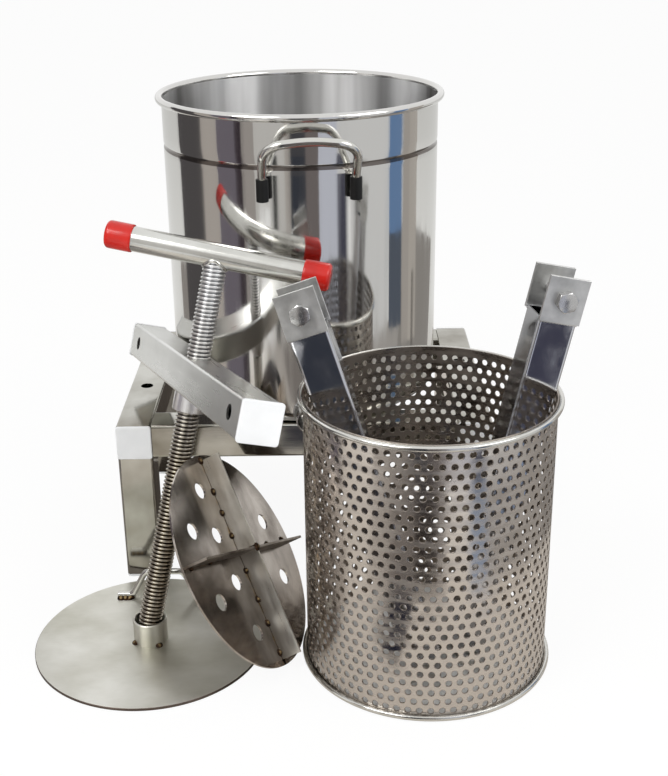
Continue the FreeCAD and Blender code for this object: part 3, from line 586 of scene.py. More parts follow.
def weld_metal():
    """Stainless weld left as it cooled: a nearly black ring of oxide round a straw-coloured top."""
    made, tree, skin = finish("oxidised_stainless_weld", "#6d4a2c", 0.42, 0.8)
    height = add(tree, "Attribute", {"attribute_name": "mark"})
    scale = pattern(tree, 2.381, 3)
    oxide = two_tone(tree, scale, (0.35, 0.65), linear("#140c08"), linear("#46301d"))
    top = two_tone(tree, height.outputs["Fac"], (0.86, 1.0), oxide, linear("#a08a62"), (0.0, 0.8))
    tree.links.new(top, skin.inputs["Base Color"])
    crust = add(tree, "Bump", Height=scale, Strength=1.0, Distance=0.4 * MM)
    tree.links.new(crust.outputs[0], skin.inputs["Normal"])
    return made


def thread_steel():
    """Rolled stainless thread: bright crests, and roots painted darker as painted shade in the hollows; the
    roots are grey above and brown with oil below.

    "mark" is the height up the tooth; the oil clears between 190 and 370 mm up the screw.
    """
    made, tree, skin = finish("rolled_stainless_thread", "#c8c6c0", 0.3, 1.0)
    tooth = add(tree, "Attribute", {"attribute_name": "mark"})
    grain = add(tree, "Attribute", {"attribute_name": "grain"})
    parts = add(tree, "SeparateXYZ", Vector=grain.outputs["Vector"])
    oiled, clean = 190 * MM, 370 * MM
    # Roots are painted darker than crests as painted shade; lower down, oil browns them too.
    roots = two_tone(tree, parts.outputs["Z"], (oiled, clean), linear("#35281a"), linear("#a3a4a6"))
    crests = two_tone(tree, parts.outputs["Z"], (oiled, clean), linear("#b9b2a4"), linear("#ededed"))
    tree.links.new(two_tone(tree, tooth.outputs["Fac"], (0.1, 0.7), roots, crests), skin.inputs["Base Color"])
    dullness = add(tree, "MapRange", Value=parts.outputs["Z"], From_Min=oiled, From_Max=clean,
                   To_Min=0.24, To_Max=0.36)
    tree.links.new(dullness.outputs[0], skin.inputs["Roughness"])
    wear = add(tree, "Bump", Height=pattern(tree, (16.67, 16.67, 25), 3), Strength=1.0, Distance=0.1 * MM)
    tree.links.new(wear.outputs[0], skin.inputs["Normal"])
    return made


# Bucket outside, and the spout: the room shows in upright bands that waver a little.
MIRROR = polished_stainless("polished_stainless_sheet", "#d4d3d0", 0.08, (111.1, 111.1, 200), 0.05,
                            (6.25, 6.25, 333.3))
# The rolled groove is painted darker, as painted shade for the bucket's own shade that it faces: a dark line
# with a faint shine.
GROOVE = polished_stainless("stainless_groove_in_shade", "#77716d", 0.12, (111.1, 111.1, 200), 0.05,
                            (6.25, 6.25, 333.3))
# Arm tubes: a cooler, slightly blotchy mirror, as on tube polished after drawing.
ARM_MIRROR = polished_stainless("polished_stainless_tube", "#cdced2", 0.09, (71.43, 71.43, 111.1), 0.04,
                                (18.18, 18.18, 25))
# Collar under the beam: turned bright, with a soft streak of light down its side.
NUT_STEEL = polished_stainless("turned_stainless_collar", "#ffffff", 0.24, 33.33, 0.01, 200)
# Basket outside: a warm satin gloss in broad bands between the punched holes.
BASKET_STEEL = polished_stainless("punched_stainless_sheet", "#c9c3bd", 0.20, (45.45, 45.45, 166.7), 0.03)
# Basket inside: the same sheet painted darker and browner as painted shade, and duller.
BASKET_INSIDE = polished_stainless("punched_stainless_inside_painted_shade", "#a0978e", 0.26, (45.45, 45.45, 166.7), 0.03)
# Handles, bail and basket rims: smooth wire with thin bright lines along it.
WIRE_STEEL = polished_stainless("drawn_stainless_wire", "#d2d1cc", 0.14, 33.33, 0.02)
# Bucket inside: upright light and dark bands painted into its colour as painted reflections, smeared by the
# round grinding.
INSIDE = ground_stainless("ground_stainless_inside_painted_reflections", "#ffffff", "#423e3a", 0.34, (41.67, 41.67, 1000), 0.0003,
                          (90.91, 90.91, 1428.6))
brushed_across(INSIDE, 0.92)
# Bucket floor: an even pale satin.
BUCKET_FLOOR = ground_stainless("turned_stainless_floor", "#dcd9d3", "#c0bcb4", 0.30, 16.67, 0.0005, 111.1)
# Stand tubes: a greyish, fairly clear reflection, clouded brown where hands and grease were.
RAIL_STEEL = ground_stainless("ground_stainless_tube", "#c8c7c0", "#7f796c", 0.11, (1.111, 1.111, 83.33),
                              0.002, (90.91, 90.91, 111.1))
# Cross beam: pale and matt, with hardly a reflection.
BEAM_STEEL = ground_stainless("ground_stainless_beam", "#e6e6e3", "#cdcdc9", 0.29, (500, 40, 40), 0.0001,
                              (125, 83.33, 83.33))
# Press plate and its socket: rolled steel with a dull, slightly yellow sheen.
PLATE_STEEL = ground_stainless("rolled_stainless_plate", "#e9e8e1", "#c4c2b5", 0.38, (8.333, 2, 50), 0.003,
                               (111.1, 71.43, 71.43))
# Rim of the press plate: sheared and left rough, and coloured darker than the plate, so that it draws a dark
# line.
PLATE_EDGE = ground_stainless("sheared_plate_edge", "#6d625b", "#3e3530", 0.42, 5, 0.004)
# Strainer disc: a smoky half mirror, with a dark line and straw heat tints along the long rib.
DISC_STEEL = ground_stainless("rolled_stainless_disc", "#cac2ba", "#746b62", 0.16, (71.43, 11.11, 71.43),
                              0.0003, (71.43, 41.67, 71.43))
heat_tint(DISC_STEEL, 2.0, 9.0)
# Long rib: strip cut from sheet, painted pale as a painted reflection of the white room, so brighter than the
# disc behind it.
RIB_STEEL = ground_stainless("sheared_stainless_strip_painted_light", "#f0eee6", "#b3aa9a", 0.32, (71.43, 6.25, 6.25),
                             0.0003, (83.33, 50, 50))
# Half ribs: the same strip, coloured darker and browner.
HALF_RIB_STEEL = ground_stainless("darker_brown_strip", "#b3aba1", "#5f5348", 0.36, (50, 3.333, 3.333),
                                  0.002, 33.33)
# Ears, arm feet and the plain welds of ears, handles and spout: a flat grey shine, as on cut bar.
EAR_STEEL = ground_stainless("cut_stainless_bar", "#e0e0de", "#a8a8a6", 0.38, (16.67, 16.67, 50), 0.0004,
                             35.71)
# Bolts and nuts: turned and milled, light grey with a tight highlight.
BOLT_STEEL = ground_stainless("machined_stainless_bolt", "#d2d2d1", "#bdbcbb", 0.24, 3.333, 0.003)
# Cross pipe, and the weld under it: ground lengthways, so that its highlight is one long streak.
PIPE_STEEL = ground_stainless("ground_stainless_pipe", "#dededa", "#c6c5bf", 0.18, (83.33, 1.111, 1.111),
                              0.006)
# Tacks on the disc and the plate: small dark blobs with a straw-coloured top.
WELD = weld_metal()
# Screw: bright rings with roots painted darker as painted shade, browner with oil towards its foot.
THREAD = thread_steel()
# Plugs: clean white with soft edges and almost no gloss.
WHITE = plastic("moulded_white_polyethylene", "#e9eaeb", "#e1e2e3", 0.42, 1.429, 0.02)
# Handle sleeves: near black with a faint grey edge of light.
BLACK = plastic("black_rubber_sleeve", "#0b0b0b", "#131313", 0.42, 1.111, 0.12, Specular_IOR_Level=0.28)
# Grips: deep red with the wet gloss of a dipped coat.
RED = plastic("dipped_red_vinyl", "#cf2014", "#b0170e", 0.26, 4, 0.05, Coat_Weight=0.35, Coat_Roughness=0.12,
              Specular_IOR_Level=0.35)


# Stand.
def make_stand():
    """Two side rails front to back, two cross rails between them, four legs, all plugged."""
    axis_x, axis_y = (STAND_WIDTH - TUBE) / 2, (STAND_DEPTH - TUBE) / 2
    level = RAIL_TOP - TUBE / 2
    for side, sign in (("left", -1), ("right", 1)):
        holes = [(STAND_DEPTH / 2 + step * RAIL_HOLE_REACH, quarter, RAIL_HOLE_RADIUS)
                 for step in (-1, 1) for quarter in (1, 3)]
        rail = square_tube(TUBE, WALL, CORNER, STAND_DEPTH, holes)
        start = STAND + [sign * axis_x, -STAND_DEPTH / 2, level]
        piece(f"{side}_rail", rail, place(ALONG_Y, start), "stand", RAIL_STEEL,
              [f"{side}_side_rail"], bevel=0.3)
    for end, sign in (("front", -1), ("rear", 1)):
        rail = square_tube(TUBE, WALL, CORNER, STAND_WIDTH - 2 * TUBE)
        start = STAND + [TUBE - STAND_WIDTH / 2, sign * axis_y, level]
        piece(f"{end}_rail", rail, place(ALONG_X, start), "stand", RAIL_STEEL,
              [f"{end}_cross_rail"], bevel=0.3)
        for side, across in (("left", -1), ("right", 1)):
            corner = STAND + [across * axis_x, sign * axis_y, PLUG_HEAD]
            leg = square_tube(TUBE, WALL, CORNER, RAIL_TOP - TUBE - PLUG_HEAD)
            piece(f"{end}_{side}_post", leg, place(LEVEL, corner), "stand", RAIL_STEEL,
                  [f"leg_{end}_{side}"], bevel=0.3)
            plug = plug_cap(TUBE, CORNER, PLUG_HEAD)
            piece(f"{end}_{side}_foot", plug, place(LEVEL, corner), "stand", WHITE,
                  [f"foot_plug_{end}_{side}"])
            mouth = STAND + [across * axis_x, sign * STAND_DEPTH / 2, level]
            piece(f"{end}_{side}_end_cap", plug, place(turn(X, 90 * sign), mouth), "stand", WHITE,
                  [f"rail_cap_{end}_{side}"])


# Bucket.
def make_bucket():
    """The shell is a profile turned about Z: up its outside, over the rolled rim, down its inside."""
    radius, inner, height = BUCKET_RADIUS, BUCKET_RADIUS - BUCKET_WALL, BUCKET_HEIGHT
    dents = ((-3.6, 0), (-2.6, 0.15), (-1.4, 0.55), (0, 0.75), (1.4, 0.55), (2.6, 0.15), (3.6, 0))
    groove = [(radius - depth, GROOVE_LEVEL + rise) for rise, depth in dents]
    outside = [(0.0, 0.0)] + [(r, 0.0) for r in np.linspace(12, radius - 20, 7)]
    outside += arc((radius - BUCKET_FOOT, BUCKET_FOOT), BUCKET_FOOT, -90, 0, 10)
    outside += [(radius, z) for z in np.linspace(30, 268, 12)] + groove
    outside += [(radius, z) for z in (290, 308, 319.5)]
    outside += arc((radius + 2.5, height), BUCKET_RIM, -128, 175, 26)
    inside = [(inner, height - 1.5)] + [(inner, z) for z in np.linspace(height - 4, 40, 14)] + [(inner, 30)]
    bend = BUCKET_FOOT - BUCKET_WALL
    inside += arc((inner - bend, BUCKET_FOOT), bend, 0, -90, 10)
    inside += [(r, BUCKET_WALL) for r in np.linspace(inner - 20, 12, 7)] + [(0.0, BUCKET_WALL)]
    shell = lathe(outside + inside, 288)
    made = piece("bucket", shell, BUCKET, "bucket", MIRROR, ["bucket_shell"], sharp=60)
    # The inside takes the colour bands of painted reflection.
    second_finish(made, BUCKET, (-1, inner + 0.3), (1.2, height - 2), INSIDE)
    second_finish(made, BUCKET, (-1, inner - 3), (1.2, 12), BUCKET_FLOOR)
    # The groove's faces take the darker colour: painted shade.
    shaded = (GROOVE_LEVEL + dents[1][0], GROOVE_LEVEL + dents[-2][0])
    second_finish(made, BUCKET, (inner + 0.5, radius + 1), shaded, GROOVE)


def make_spout():
    """The outlet tube, and a rippled weld round it that follows the wall: y = -sqrt(reach^2 - x^2).

    The wall's reach shrinks in the bend at its foot: radius - r + sqrt(r^2 - (r - z)^2).
    """
    root, edge, weld_radius = -24.0, 0.6, 16.0
    tube = [(SPOUT_BORE, root), (SPOUT_RADIUS, root), (SPOUT_RADIUS, SPOUT_REACH - edge),
            (SPOUT_RADIUS - edge, SPOUT_REACH), (SPOUT_BORE + edge, SPOUT_REACH),
            (SPOUT_BORE, SPOUT_REACH - edge), (SPOUT_BORE, root)]
    spout = moved(lathe(tube, 96), place(turn(X, 90), [0, -BUCKET_RADIUS, SPOUT_LEVEL]))
    piece("spout", spout, BUCKET, "bucket", MIRROR, ["outlet_spout"], sharp=40)
    a = circle(96)
    x, z = weld_radius * np.cos(a), SPOUT_LEVEL + weld_radius * np.sin(a)
    drop = np.clip(BUCKET_FOOT - z, 0, BUCKET_FOOT)
    reach = BUCKET_RADIUS - BUCKET_FOOT + np.sqrt(BUCKET_FOOT**2 - drop**2)
    seam = np.column_stack([x, -np.sqrt(reach**2 - x**2), z])
    weld = sweep(seam, 1.5 + 0.25 * np.sin(a * 34), 12)
    piece("spout_weld", weld, BUCKET, "bucket", EAR_STEEL)


def make_bucket_handle(end, half_turn):
    """A wire bent out and up from the wall to a low arch, each foot behind a rubber sleeve."""
    half, wire = 46.45, 4.35
    leg, reach = BUCKET_RADIUS + 1.0, BUCKET_RADIUS + 35.6
    foot, knee, shoulder, top = 249.6, 267.0, 304.9, 309.4
    root = math.sqrt(BUCKET_RADIUS**2 - half**2) - 0.05
    rise = [(-half, -root, foot), (-half, -leg, foot), (-half, -leg, knee), (-half, -reach, shoulder)]
    corners = rise + [(0, -reach, top)] + [(-x, y, z) for x, y, z in rise[::-1]]
    path = resampled(bent(corners, [4.6, 18, 22.5, 160, 22.5, 18, 4.6]), 1.2)
    matrix = place(turn(Z, 4.2 + half_turn), BUCKET[:3, 3])
    piece(f"{end}_bucket_handle", sweep(path, wire, 28), matrix, "bucket", WIRE_STEEL,
          [f"{end}_handle_wire"])
    low, length, skin, cup = 244.2, 22.8, 6.2, 8.0
    sleeve = [(0.0, 0.0), (skin - 0.3, 0.0), (skin, 0.3), (skin, 7), (skin, 15)]
    sleeve += arc((skin - 0.8, length - 0.8), 0.8, 0, 90, 5) + [(wire, length), (wire, cup), (0.0, cup)]
    a = circle(24)
    weld_radius = 4.6
    for side, across in (("left", -1), ("right", 1)):
        spot = place(LEVEL, [across * half, -leg, low])
        piece(f"{end}_{side}_sleeve", moved(lathe(sleeve, 48), spot), matrix, "bucket", BLACK,
              [f"handle_sleeve_{end}_{side}"])
        weld = np.column_stack([across * half + weld_radius * np.cos(a), 0 * a - root - 0.6,
                                foot + weld_radius * np.sin(a)])
        piece(f"{end}_{side}_handle_weld", sweep(weld, 1.3, 10), matrix, "bucket", EAR_STEEL)


# Basket.
def perforated_sheet(radius, thickness, height, rows, per_row, hole, first, pitch, phase):
    """A sheet cylinder with staggered punched holes, each with a rolled-in outer edge.

    Each hole has a cell one pitch wide and high: a ring of quads runs from the cell's
    edge, at twelve points, to the top of the rolled edge, down it to the hole, through the
    sheet and out to the cell's edge again. Plain bands close the sheet above and below.
    """
    roll_width, roll_depth = 0.45, 0.22
    inner, width = radius - thickness, TAU / per_row
    share = np.array([(-0.5, -0.5), (-0.25, -0.5), (0, -0.5), (0.25, -0.5), (0.5, -0.5), (0.5, 0.0),
                      (0.5, 0.5), (0.25, 0.5), (0, 0.5), (-0.25, 0.5), (-0.5, 0.5), (-0.5, 0.0)])
    bearing = np.arctan2(share[:, 1], share[:, 0])
    cell = share * [width, pitch]
    unit = np.column_stack([np.cos(bearing) / radius, np.sin(bearing)])
    row, column = np.meshgrid(np.arange(rows), np.arange(per_row), indexing="ij")
    middle = ((column + 0.5 * (row % 2)) * width).reshape(-1, 1) + phase
    level = (first + row * pitch).reshape(-1, 1)
    loops = [(radius, cell), (radius, unit * (hole + roll_width)), (radius - roll_depth, unit * hole),
             (inner, unit * hole), (inner, cell)]
    rings = [around(r, level + loop[:, 1], middle + loop[:, 0]) for r, loop in loops]
    points = np.stack(rings, 1).reshape(-1, 3)
    one = grid_faces(len(loops), len(share), wrap=True)
    firsts = np.arange(len(middle))[:, None, None] * len(loops) * len(share)
    shapes = [(points, (one[None] + firsts).reshape(-1, 4))]
    edge = circle(per_row * 4) + phase
    for start, end in ((0.0, first - pitch / 2), (first + (rows - 0.5) * pitch, height)):
        levels = np.linspace(start, end, 3)[:, None]
        outer, back = (around(r, levels, edge) for r in (radius, inner))
        grid = np.vstack([outer, back[::-1]] if start else [outer[::-1], back])
        shapes.append((grid.reshape(-1, 3), grid_faces(len(grid), len(edge), wrap=True)))
    return together(shapes)


def make_basket():
    """The perforated wall with a round wire rolled into each rim."""
    outer = BASKET_BORE + BASKET_WALL
    sheet = perforated_sheet(outer, BASKET_WALL, BASKET_HEIGHT, PUNCH_ROWS, PUNCHES_A_ROW, PUNCH_RADIUS,
                             PUNCH_START, PUNCH_PITCH, math.radians(1.03))
    made = piece("basket", sheet, BASKET, "basket", BASKET_STEEL, ["basket_wall"], sharp=20)
    # The inside of the sheet takes the darker colour: painted shade.
    second_finish(made, BASKET, (-1, outer - 0.1), (0.0, BASKET_HEIGHT), BASKET_INSIDE)
    for end, level in (("bottom", BASKET_BEAD), ("top", BASKET_HEIGHT - BASKET_BEAD)):
        ring = lathe(arc((outer + BASKET_BEAD, level), BASKET_BEAD, 0, 360, 21), 288)
        piece(f"basket_{end}_rim", ring, BASKET, "basket", WIRE_STEEL, [f"basket_{end}_bead"])


# Strainer disc.
def make_disc():
    """A drilled round plate, a long rib along one diameter and two half ribs across it."""
    holes = []
    for reach, bearing in DRAINS:
        a = math.radians(bearing)
        holes.append((reach * math.cos(a), reach * math.sin(a), DRAIN_RADIUS))
    side = 2 * DISC_RADIUS + 4
    plate = holed_plate(side, side, DISC_THICKNESS, holes, DISC_RADIUS, 2.2)
    piece("strainer", plate, DISC, "strainer", DISC_STEEL, ["strainer_disc"], bevel=0.45)
    rib = holed_plate(RIB_LENGTH, RIB_HEIGHT, RIB_THICKNESS, [], pitch=6)
    middle_level = DISC_THICKNESS + RIB_HEIGHT / 2
    on_edge = place(turn(X, 90), [0, RIB_THICKNESS / 2, middle_level])
    # The long rib's pale colour is a painted reflection.
    piece("long_rib", moved(rib, on_edge), DISC, "strainer", RIB_STEEL, ["disc_long_rib"],
          bevel=0.3)
    crossing = DISC @ place(turn(Z, HALF_RIB_TURN), [HALF_RIB_SHIFT, 0, 0])
    rib = holed_plate(HALF_RIB_LENGTH, RIB_HEIGHT, RIB_THICKNESS, [], pitch=6)
    for side, sign in (("left", 1), ("right", -1)):
        middle = sign * (RIB_THICKNESS / 2 + 0.06 + HALF_RIB_LENGTH / 2)
        on_edge = place(turn(Z, 90) @ turn(X, 90), [-RIB_THICKNESS / 2, middle, middle_level])
        piece(f"half_rib_{side}", moved(rib, on_edge), crossing, "strainer", HALF_RIB_STEEL,
              [f"disc_half_rib_{side}"], bevel=0.3)


def make_disc_tacks():
    """Tacks in pairs along the long rib, one by one along the half ribs, and up the crossing."""
    floor, top = DISC_THICKNESS, DISC_THICKNESS + RIB_HEIGHT
    tacks = []
    for n, reach in enumerate((105.7, 72, 48.7, 23.8, -13.4, -44, -69, -100)):
        for sign in (-1, 1):
            spot = place(turn(X, -25 * sign), [reach + sign, sign * 2.4, floor])
            tacks.append(moved(blob(3.7, 2.2, n + sign), spot))
    for n, reach in enumerate((30, 62, 98, -30, -62, -98)):
        spot = place(turn(Y, 25), [HALF_RIB_SHIFT + 2.4, reach, floor])
        tacks.append(moved(blob(3.2, 2.2, n), spot))
    for n, level in enumerate((5, 10, 15, 20)):
        tacks.append(moved(blob(2.6, 1.9, n), place(turn(Y, 90), [HALF_RIB_SHIFT + 1.4, 1.9, floor + level])))
    tacks.append(moved(blob(4.2, 2.4, 3), place(LEVEL, [HALF_RIB_SHIFT, 0.4, top])))
    tacks.append(moved(blob(3.4, 2.6, 5), place(turn(Y, 60), [HALF_RIB_SHIFT + 2.6, -2.4, top - 3])))
    piece("strainer_tacks", together(tacks), DISC, "strainer", WELD,
          marks=blob_heights(len(tacks)))


# Press plate.
def make_plate():
    """A flat round plate, the socket for the screw's foot and a bent wire bail behind it."""
    edge, top = 0.5, PLATE_THICKNESS
    disc = [(0.0, 0.0)] + [(r, 0.0) for r in (30, 60, 90, PLATE_RADIUS - edge)]
    disc += [(PLATE_RADIUS, edge), (PLATE_RADIUS, top - edge), (PLATE_RADIUS - edge, top)]
    disc += [(r, top) for r in (90, 60, 30)] + [(0.0, top)]
    made = piece("pressing_plate", lathe(disc, 256), PLATE, "plate", PLATE_STEEL,
                 ["press_plate"], sharp=30)
    second_finish(made, PLATE, (PLATE_RADIUS - 0.45, PLATE_RADIUS + 1), (0.0, top), PLATE_EDGE)
    bore, outer, high = 15.0, 17.2, top + 25
    ring = [(bore, top), (outer, top), (outer, high - edge), (outer - edge, high), (bore + edge, high),
            (bore, high - edge), (bore, top)]
    piece("socket", lathe(ring, 96), PLATE, "plate", PLATE_STEEL, ["plate_socket"], sharp=30)
    lying, arch = top + BAIL_WIRE, top + BAIL_WIRE + 28
    half = [(-51, 0, lying), (-35, 0, lying), (-20, 0, arch)]
    corners = np.array(half + [(-x, y, z) for x, y, z in half[::-1]]) + [*BAIL_MIDDLE, 0]
    path = resampled(bent(corners, [7] * 4), 1.2)
    piece("bail", sweep(path, BAIL_WIRE, 24), PLATE, "plate", WIRE_STEEL, ["plate_bail"])


def make_plate_tacks():
    """Three tacks round the socket and a row on both sides of each of the bail's feet."""
    low = PLATE_THICKNESS
    tacks = []
    for n, bearing in enumerate((-55, -150, 70)):
        a = math.radians(bearing)
        spot = place(turn(Z, bearing) @ turn(Y, 45), [17.3 * math.cos(a), 17.3 * math.sin(a), low + 0.8])
        tacks.append(moved(blob(4.2, 2.2, n + 1), spot))
    for n, reach in enumerate((-48, -43, -38, 38, 43, 48)):
        for sign in (-1, 1):
            spot = place(turn(X, -35 * sign), [BAIL_MIDDLE[0] + reach, BAIL_MIDDLE[1] + sign * 3.0, low])
            tacks.append(moved(blob(4.6, 3.4, n + 5 + sign), spot))
    piece("plate_tacks", together(tacks), PLATE, "plate", WELD,
          marks=blob_heights(len(tacks)))


# Screw and its handle.
def thread():
    """A helical groove: radius = root + depth * tooth(z / lead - angle / turn), for a right-hand lead.

    The tooth is a flat-topped ridge, zero in the root and one on the crest, and fades in over
    the first 3 mm above the plain foot. The second result is the tooth's height at each point.
    """
    start, end, plain = 15.0, 394.0, 0.6
    levels = np.arange(start, end, SCREW_LEAD / 10)
    angle = circle(48)
    phase = (levels[:, None] / SCREW_LEAD - angle[None] / TAU) % 1.0
    away = np.abs(phase - 0.5) * 2
    tooth = np.clip((0.90 - away) / 0.62, 0, 1) * np.clip((levels - start) / 3, 0, 1)[:, None]
    foot = np.array([(0.0, 0.0), (3.0, 0.0), (7.5, 4.5), (7.5, 14.9), (9.6, 14.9)])
    head = np.array([(SCREW_ROOT, end + 0.4), (0.0, end + 0.4)])
    ridge = SCREW_ROOT + (SCREW_RADIUS - SCREW_ROOT) * tooth
    radius = np.vstack([foot[:, :1] + 0 * angle, ridge, head[:, :1] + 0 * angle])
    level = np.concatenate([foot[:, 1], levels, head[:, 1]])[:, None]
    points = around(radius, level, angle)
    crest = np.pad(tooth, ((len(foot), len(head)), (0, 0)), constant_values=plain)
    return (points.reshape(-1, 3), grid_faces(len(points), len(angle), wrap=True)), crest.ravel()


def make_screw():
    """The threaded screw, with the height of its tooth kept for the thread's finish."""
    shape, crest = thread()
    piece("screw", shape, SCREW, "screw", THREAD, ["press_screw"], sharp=60, marks=crest)


def make_handle():
    """The pipe across the screw's top, a dipped grip on each end, and the weld under the pipe."""
    half, bore = HANDLE_LENGTH / 2, HANDLE_RADIUS - WALL
    profile = [(bore, -half), (HANDLE_RADIUS, -half)]
    profile += [(HANDLE_RADIUS, z) for z in np.linspace(-half + 10, half - 10, 24)]
    profile += [(HANDLE_RADIUS, half), (bore, half), (bore, -half)]
    pipe = moved(lathe(profile, 96), place(ALONG_X, [HANDLE_OFFSET, 0, 0]))
    piece("cross_pipe", pipe, HANDLE, "screw", PIPE_STEEL, ["handle_pipe"])
    skin, mouth, end = HANDLE_RADIUS + 1.5, -25.0, 2.3
    grip = [(HANDLE_RADIUS, mouth), (HANDLE_RADIUS + 0.9, mouth), (HANDLE_RADIUS + 1.3, mouth + 0.4)]
    grip += [(skin, mouth + 2), (skin, -13), (skin, -4)] + arc((skin - 4, -2), 4, 0, 78, 9)
    grip += [(6.0, end - 0.1), (3.0, end), (0.0, end), (0.0, 0.2), (HANDLE_RADIUS, 0.2), grip[0]]
    for side, sign in (("left", -1), ("right", 1)):
        spot = place(turn(Y, 90 * sign), [HANDLE_OFFSET + sign * half, 0, 0])
        piece(f"{side}_grip", moved(lathe(grip, 72), spot), HANDLE, "screw", RED,
              [f"handle_grip_{side}"], sharp=50)
    a, reach = circle(72), 11.2
    aside = reach * np.sin(a - math.radians(HANDLE_TURN))
    under = HANDLE_LEVEL - np.sqrt(HANDLE_RADIUS**2 - aside**2)
    seam = np.column_stack([reach * np.cos(a), reach * np.sin(a), under])
    weld = sweep(seam, 2.0 + 0.08 * np.sin(a * 14), 12)
    piece("handle_weld", weld, SCREW, "screw", PIPE_STEEL)


# Cross beam and arms.
def make_beam():
    """A square tube drilled for the arms' bolts, plugged at both ends, with the nut under it."""
    middle, bolt_reach, bolt_gap, screw_gap = BEAM_LENGTH / 2, 183, 7.0, 13.0
    holes = [(middle + step * bolt_reach, quarter, bolt_gap) for step in (-1, 1) for quarter in (1, 3)]
    holes += [(middle, quarter, screw_gap) for quarter in (0, 2)]
    tube = square_tube(BEAM_SIZE, WALL, CORNER, BEAM_LENGTH, holes)
    tube = moved(tube, place(ALONG_X, [-BEAM_LENGTH / 2, 0, 0]))
    piece("cross_beam", tube, BEAM, "beam", BEAM_STEEL, ["beam_tube"], bevel=0.3)
    for end, sign in (("near", -1), ("far", 1)):
        mouth = place(turn(Y, -90 * sign), [sign * BEAM_LENGTH / 2, 0, 0])
        piece(f"{end}_beam_cap", moved(plug_cap(BEAM_CAP, CORNER, 4.0), mouth), BEAM, "beam", WHITE,
              [f"beam_cap_{end}"])
    bore, outer, high = 12.4, 17.0, -BEAM_SIZE / 2
    low = high - 18
    nut = [(bore, low + 1), (bore + 0.8, low), (outer - 1.2, low), (outer - 0.4, low + 0.3),
           (outer, low + 1.2), (outer, high), (bore, high), (bore, low + 1)]
    piece("collar_nut", lathe(nut, 96), BEAM, "beam", NUT_STEEL, ["screw_nut"])


def make_arm(side):
    """A square tube with a foot plate, two ears that make a clevis, and its bolt and nut."""
    matrix, body = ARMS[side], f"{side}_arm"
    length = ARM_LENGTH - ARM_FOOT - BEAM_SIZE / 2 - 0.5
    tube = moved(square_tube(ARM_SIZE, WALL, CORNER, length), place(LEVEL, [0, 0, ARM_FOOT]))
    piece(f"{side}_post", tube, matrix, body, ARM_MIRROR, [f"{side}_arm_tube"], bevel=0.3)
    foot_holes = [(0, sign * RAIL_HOLE_REACH, RAIL_HOLE_RADIUS) for sign in (-1, 1)]
    foot_width, foot_length, ear_width, ear_height = 30, 96, 39, 43
    foot = holed_plate(foot_width, foot_length, ARM_FOOT, foot_holes, pitch=1.6)
    piece(f"{side}_foot_plate", foot, matrix, body, EAR_STEEL, [f"{side}_arm_foot"],
          bevel=0.4)
    ear = holed_plate(ear_width, ear_height, EAR_THICKNESS, [(0, 0, BOLT_HOLE)], pitch=1.5)
    grip = ARM_SIZE / 2 + EAR_THICKNESS
    for end, low in (("front", -ARM_SIZE / 2), ("rear", grip)):
        upright = place(turn(X, 90), [0, low, ARM_LENGTH])
        piece(f"{side}_{end}_cheek", moved(ear, upright), matrix, body, EAR_STEEL,
              [f"{side}_arm_{end}_ear"], bevel=0.4)
    head_height, nut_height, past_nut = 7.5, 10, 4
    head = hexagon(BOLT_FLATS, head_height)
    head = moved(head, place(turn(X, 90) @ turn(Z, -7.7), [0, -grip, ARM_LENGTH]))
    tip = 2 * grip + nut_height + past_nut
    shank = [(0.0, 0.0), (BOLT_RADIUS, 0.0), (BOLT_RADIUS, tip - 1), (BOLT_RADIUS - 1, tip), (0.0, tip)]
    shank = moved(lathe(shank, 48), place(turn(X, -90), [0, -grip, ARM_LENGTH]))
    bolt = together([head, shank])
    piece(f"{side}_bolt", bolt, matrix, body, BOLT_STEEL, [f"{side}_arm_bolt"])
    nut = moved(hexagon(BOLT_FLATS, nut_height, BOLT_HOLE), place(turn(X, -90), [0, grip, ARM_LENGTH]))
    piece(f"{side}_bolt_nut", nut, matrix, body, BOLT_STEEL, [f"{side}_arm_nut"])
    across, weld_level, weld_reach = np.linspace(-18, 18, 60), ARM_LENGTH - 21.9, ARM_SIZE / 2 + 0.4
    for end, sign in (("front", -1), ("rear", 1)):
        seam = [(x, sign * weld_reach, weld_level) for x in across]
        weld = sweep(seam, 1.1 + 0.25 * np.sin(across * 2.2), 10)
        piece(f"{side}_{end}_cheek_weld", weld, matrix, body, EAR_STEEL)


# Floor, light and camera.
def flat_sheet(name, corners):
    """One flat face through points in metres, for the studio."""
    mesh = bpy.data.meshes.new(name)
    mesh.from_pydata([list(c) for c in corners], [], [list(range(len(corners)))])
    made = bpy.data.objects.new(name, mesh)
    bpy.context.scene.collection.objects.link(made)
    return made


